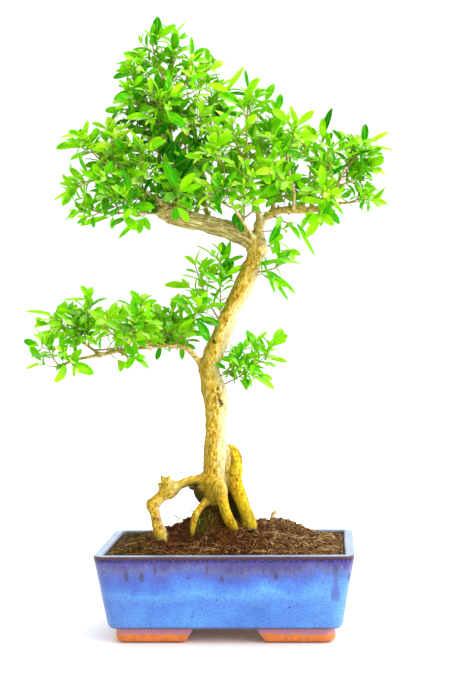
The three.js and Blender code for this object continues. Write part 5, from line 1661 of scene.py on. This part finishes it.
# Twigs that stand out, with their few large leaves. A twig is its end, and then each leaf's reach to the
# side and upwards, its width and its tone. All are read off the photograph.
OUTER_TWIGS = [
    ((-52, -6, 468), (2, 20, 8, 0.2), (-3, 9, 7, 0.5), (11, 15, 3, 0.9)),
    ((-34, 0, 470), (-5, 10, 4, 0.75), (7, 5, 6, 0.6)),
    ((-56, -14, 456), (-17, 4, 3, 0.85), (-15, 7, 3, 0.9)),
    ((-25, 10, 454), (0, 20, 4, 0.5), (10, 11, 7, 0.45), (14, 3, 6, 0.7)),
    ((-61, -26, 439), (-12, 8, 4, 0.6), (-9, -1, 4, 0.65)),
    ((-64, -36, 418), (-17, 1, 5, 0.8), (-1, 15, 6, 0.3)),
    ((-12, -30, 431), (19, -3, 6, 0.8)),
    ((2, 0, 427), (15, 21, 5, 0.9), (18, 0, 3, 0.3)),
    ((21, -8, 427), (-3, 20, 3, 0.3), (10, 13, 3, 0.9)),
    ((33, 14, 421), (7, 16, 7, 0.55), (-10, 2, 3, 0.7)),
    ((43, 10, 412), (3, 16, 6, 0.4), (-5, 12, 4, 0.7)),
    ((59, -28, 397), (13, 14, 6, 0.8), (-4, 16, 3, 0.7)),
    ((78, 40, 393), (8, 26, 6, 0.2), (1, 17, 6, 0.7)),
    ((67, -26, 380), (-1, 16, 8, 0.8)),
    ((111, -8, 382), (2, 20, 6, 0.2), (20, 14, 4, 0.9), (24, -1, 3, 0.85)),
    ((100, 0, 360), (1, 21, 6, 0.35), (11, 12, 5, 0.8)),
    ((112, -2, 342), (18, -4, 3, 0.7), (-5, -8, 3, 0.35)),
    ((84, -14, 342), (-4, -15, 6, 0.4), (11, -13, 3, 0.5)),
    ((57, -16, 323), (16, -27, 3, 0.55), (9, -11, 3, 0.4)),
    ((-103, -30, 385), (7, 15, 6, 0.6), (-9, 10, 4, 0.75), (-16, 0, 5, 0.75)),
    ((-88, -36, 386), (-5, 12, 6, 0.4)),
    ((-78, -30, 396), (-12, 13, 2, 0.5)),
    ((-121, 30, 356), (-17, 7, 4, 0.7), (-22, -9, 4, 0.9)),
    ((-90, -38, 351), (0, -22, 6, 0.4)),
    ((-85, -34, 329), (-28, -4, 5, 0.85)),
    ((-64, -18, 329), (-3, -13, 6, 0.6), (-20, -16, 4, 0.6)),
    ((-31, -60, 346), (12, 15, 8, 0.7), (-10, 23, 6, 0.3), (18, 5, 6, 0.6)),
    ((-33, -56, 335), (11, -12, 6, 0.55), (-2, -12, 6, 0.35)),
    ((-5, -40, 398), (13, 10, 5, 0.5)),
    ((13, -12, 334), (-6, -12, 7, 0.1), (1, -19, 6, 0.1)),
    ((-43, -22, 402), (6, 13, 12, -0.1), (-9, 3, 6, 0.1)),
    ((-39, -26, 366), (14, 11, 10, -0.1), (-5, 13, 8, 0.0)),
    ((-37, -24, 388), (2, -16, 9, -0.1), (-9, -9, 7, 0.0)),
    ((1, 4, 293), (-5, 18, 6, 0.3), (3, 17, 6, 0.5), (14, 6, 4, 0.5), (-19, -5, 3, 0.45)),
    ((2, 0, 282), (-1, 13, 8, 0.2), (13, 10, 5, 0.45), (-22, 6, 3, 0.5)),
    ((-22, -26, 249), (21, -3, 7, 0.2), (-16, -10, 6, 0.75), (12, -18, 8, 0.3)),
    ((-22, -24, 260), (-20, 5, 5, 0.45), (13, 5, 6, 0.4), (-2, 13, 4, 0.7)),
    ((-104, -28, 264), (-8, 13, 5, 0.65), (-22, 3, 3, 0.7)),
    ((-64, -30, 259), (-8, 13, 6, 0.5), (12, 6, 5, 0.6)),
    ((-136, -8, 253), (10, 10, 6, 0.6), (-24, 6, 3, 0.8)),
    ((-143, -30, 216), (-14, -5, 3, 0.9), (-10, 14, 6, 0.55)),
    ((-69, -40, 220), (-8, 9, 5, 0.5), (13, -9, 5, 0.45), (-7, -7, 5, 0.55), (9, 0, 5, 0.6),
     (2, 13, 6, 0.5)),
    ((-75, -34, 227), (-8, 16, 12, 0.6)),
    ((-127, -30, 216), (1, -12, 6, 0.6)),
    ((1, -8, 208), (-10, 5, 5, 0.4), (11, 9, 5, 0.6), (9, -8, 5, 0.3)),
    ((10, -10, 215), (-14, 3, 5, 0.5), (2, 15, 6, 0.4), (12, 6, 5, 0.6)),
    ((22, -6, 226), (-5, 13, 5, 0.4), (11, 13, 4, 0.7), (14, -5, 5, 0.5)),
    ((30, -8, 293), (19, 0, 3, 0.5), (32, 3, 4, 0.6), (11, -21, 3, 0.5)),
    ((34, -4, 286), (24, -17, 4, 0.45), (17, -24, 3, 0.45), (6, -18, 3, 0.6)),
]
# Seedlings in the soil, as x, y and height
SEEDLINGS = [(-43, 20, 6), (-40, 12, 4), (-46, 16, 4), (-27, -4, 5), (-23, -9, 4), (-30, 3, 4)]
WOOD = np.concatenate([smooth_path(rows)[:, :3] for name, rows in LIMBS.items()
                       if not name.startswith("root")])


def nearest_wood(point):
    """The place on the boughs nearest to a point. One above the point counts as further away."""
    reach = point - WOOD
    return WOOD[(np.linalg.norm(reach, axis=1) + np.clip(5 - reach[:, 2], 0, None)).argmin()]


def outer_twig(seed, tip, leaves):
    """A twig from the nearest wood to its given end, with its leaves facing forwards and a pair half way."""
    shoot, tip = Shoot(seed), np.array(tip, float)
    root = nearest_wood(tip)
    curve = (root, twig_middle(root, tip), tip)
    path = twig_point(*curve, np.linspace(0, 1, TWIG_STEPS))
    shoot.twig(path, SIDE_TWIG_RADIUS, 0.35, 0.3, 0.9)
    for i, (aside, up, width, tone) in enumerate(leaves):
        reach = np.array((aside, 7 * chance(seed, i) - 5, up))
        length = np.linalg.norm(reach)
        face = np.array((0.5 * chance(seed, 20 + i) - 0.25, -1, 0.5))
        face = unit(face - (face @ reach) * reach / length**2)
        shoot.leaves.append((tip, reach / length, face, length, 0.85 * tone - 0.05, width))
    shoot.pair(*on_twig(curve, 0.6), chance(seed, 9) * math.pi, 0.9, (31, 32), 0.7, 0.4)
    return shoot


def seedling(seed, x, y, height):
    """A thin stem out of the soil with two small leaves."""
    start = np.array((x, y, soil_height(np.array([x]), np.array([y]))[0] - 0.5))
    tip = start + (0.2 * height, 0, height)
    middle = (start + tip) / 2
    shoot = Shoot(seed)
    stem = twig_point(start, middle + (0.5, 0, 0), tip, np.linspace(0, 1, TWIG_STEPS))
    shoot.twig(stem, 0.4, 0.3, 1.1, 1.2)
    shoot.pair(*on_twig((start, middle, tip), 1.0), 0.4, 0.9, (1, 2), 0.28, 0.4)
    return shoot


# Short leafy twigs fill the crown's inside. For each region: how much darker their leaves are, for age and
# as painted shade inside the crown, the limbs they grow from, and how many grow from each.
FILLING = {
    "leader": (0.32, {"leader": 13, "leader_left": 3, "leader_right": 3}),
    "left": (0.24, {"left_upper": 4, "left_back": 4, "left_lower": 3}),
    "middle": (0.24, {"middle_back": 5, "middle": 5, "middle_front": 3}),
    "right": (0.16, {"right_up": 4, "right_front": 3, "right_back": 4, "right_tip": 3}),
    "pad": (0.1, {"pad": 5, "pad_front": 4, "pad_back": 6, "pad_left": 4}),
}
FILL_FULLNESS = 0.5
FILL_SEED, OUTER_SEED, SEEDLING_SEED = 100, 300, 400


def filling(seed, limb, count, age_and_shade):
    """Short twigs at even places along a limb, each with its own turn round it, rise and length."""
    shoots = []
    for i in range(count):
        share = 0.12 + 0.86 * (i + chance(seed, 4 * i)) / count
        turn, rise = math.tau * chance(seed, 4 * i + 1), 0.1 + 0.9 * chance(seed, 4 * i + 2)
        reach = 13 + 15 * chance(seed, 4 * i + 3)
        way = (math.cos(turn) * math.cos(rise), math.sin(turn) * math.cos(rise), math.sin(rise))
        tip = place_along(limb, share) + reach * np.array(way)
        shoots.append(grow(seed + 0.1 * i, limb, share, tip, FILL_FULLNESS, age_and_shade))
    return shoots


seed, leaf_count = 0, 0
for region, rows in SHOOTS.items():
    for i, row in enumerate(rows):
        seed += 1
        solid = f"shoot_{region}_{i + 1}"
        leaf_count += make_foliage(f"leafy_{solid}", [grow(seed, *row)], [solid])
for number, (region, (age_and_shade, limbs)) in enumerate(FILLING.items()):
    grown = [shoot for k, (limb, count) in enumerate(limbs.items())
             for shoot in filling(FILL_SEED + 10 * number + k, limb, count, age_and_shade)]
    leaf_count += make_foliage(f"inner_twigs_{region}", grown, [])
outer = [outer_twig(OUTER_SEED + i, tip, leaves) for i, (tip, *leaves) in enumerate(OUTER_TWIGS)]
outer += [seedling(SEEDLING_SEED + i, *row) for i, row in enumerate(SEEDLINGS)]
leaf_count += make_foliage("outer_twigs", outer, [])
print(seed, "shoots and the other twigs, with", leaf_count, "leaves")

# %% [markdown]
# ## Floor, light and camera
#
# The floor is plain and pale, and so is the sky round it, so the tree stands out as on a photographer's
# paper. A large soft light from the right gives the trunk its bright side, one from above reaches
# into the crown, and a low one passes below it and edges the trunk and the roots. The camera stands where
# the proportions of the pot say the picture was taken.

# %% Floor, sky and lights
FLOOR_REACH = 6000


def make_floor():
    """A wide level sheet that glows a little, which is painted light that thins the shadow."""
    finish = Finish("pale_paper", Roughness=0.9, Specular_IOR_Level=0.1, Emission_Color=(1, 1, 1, 1),
                    Emission_Strength=0.03)
    finish.join(Base_Color=finish.effect(PATCHES, "Colour", Vector=finish.place, Scale=0.02, Contrast=0.6,
                                         First=(0.93, 0.93, 0.93, 1), Second=(0.96, 0.96, 0.96, 1)))
    corners = FLOOR_REACH * np.array([(-1, -1, 0), (1, -1, 0), (1, 1, 0), (-1, 1, 0)])
    new_solid("floor", corners, [np.array([[0, 1, 2, 3]])], [finish.material])


def soft_sun(name, azimuth, elevation, spread, strength):
    """An even light from far off, from an azimuth round from the front to the right and a height above the
    floor, in degrees. Its own axis, -Z, points away from where it comes from."""
    data = bpy.data.lights.new(name, "SUN")
    data.angle, data.energy = math.radians(spread), strength
    turn, rise = math.radians(azimuth), math.radians(elevation)
    source = Vector((math.sin(turn) * math.cos(rise), -math.cos(turn) * math.cos(rise), math.sin(rise)))
    linked(name, data).rotation_euler = source.to_track_quat("Z", "Y").to_euler()


def make_sky(light, seen):
    """A white sky. The eye and mirrors see it at one strength, and it lights the rest at a lower one."""
    world = bpy.data.worlds.new("studio")
    world.use_nodes = True
    ray = add(world.node_tree, "LightPath", output="Is Camera Ray")
    direct = ray.maths("MAXIMUM", ray.other("Is Glossy Ray"))
    background = world.node_tree.nodes["Background"]
    plug(background.inputs["Color"], (1, 1, 1, 1))
    plug(background.inputs["Strength"], direct * (seen - light) + light)
    bpy.context.scene.world = world


make_floor()
make_sky(light=0.85, seen=1.1)
soft_sun("key", azimuth=55, elevation=28, spread=45, strength=2.6)
soft_sun("overhead", azimuth=170, elevation=68, spread=60, strength=2.6)
soft_sun("low", azimuth=100, elevation=5, spread=30, strength=1.6)
bpy.context.scene.view_settings.view_transform = "Standard"

# %% Camera
CAMERA_PLACE = (84.9, -1342.7, 265.2)
CAMERA_YAW, CAMERA_PITCH, CAMERA_ROLL = (math.radians(angle) for angle in (3.65, -1.37, -0.73))
FOCAL_PIXELS, PICTURE_HEIGHT = 1688.5, 675


def make_camera():
    """Forward by yaw and pitch, then right and up square to it, turned by the roll."""
    yaw, pitch, roll = CAMERA_YAW, CAMERA_PITCH, CAMERA_ROLL
    forward = np.array([-math.sin(yaw) * math.cos(pitch), math.cos(yaw) * math.cos(pitch), math.sin(pitch)])
    level = np.array([math.cos(yaw), math.sin(yaw), 0])
    rise = np.cross(level, forward)
    right = math.cos(roll) * level + math.sin(roll) * rise
    up = math.cos(roll) * rise - math.sin(roll) * level
    data = bpy.data.cameras.new("camera")
    data.sensor_width = 36
    data.lens = FOCAL_PIXELS * data.sensor_width / PICTURE_HEIGHT
    data.clip_end = 30
    camera = linked("camera", data)
    axes = np.column_stack([right, up, -forward, placed(CAMERA_PLACE)])
    camera.matrix_world = Matrix([*axes.tolist(), (0, 0, 0, 1)])
    bpy.context.scene.camera = camera
    print("lens", round(data.lens, 2), "mm")


make_camera()
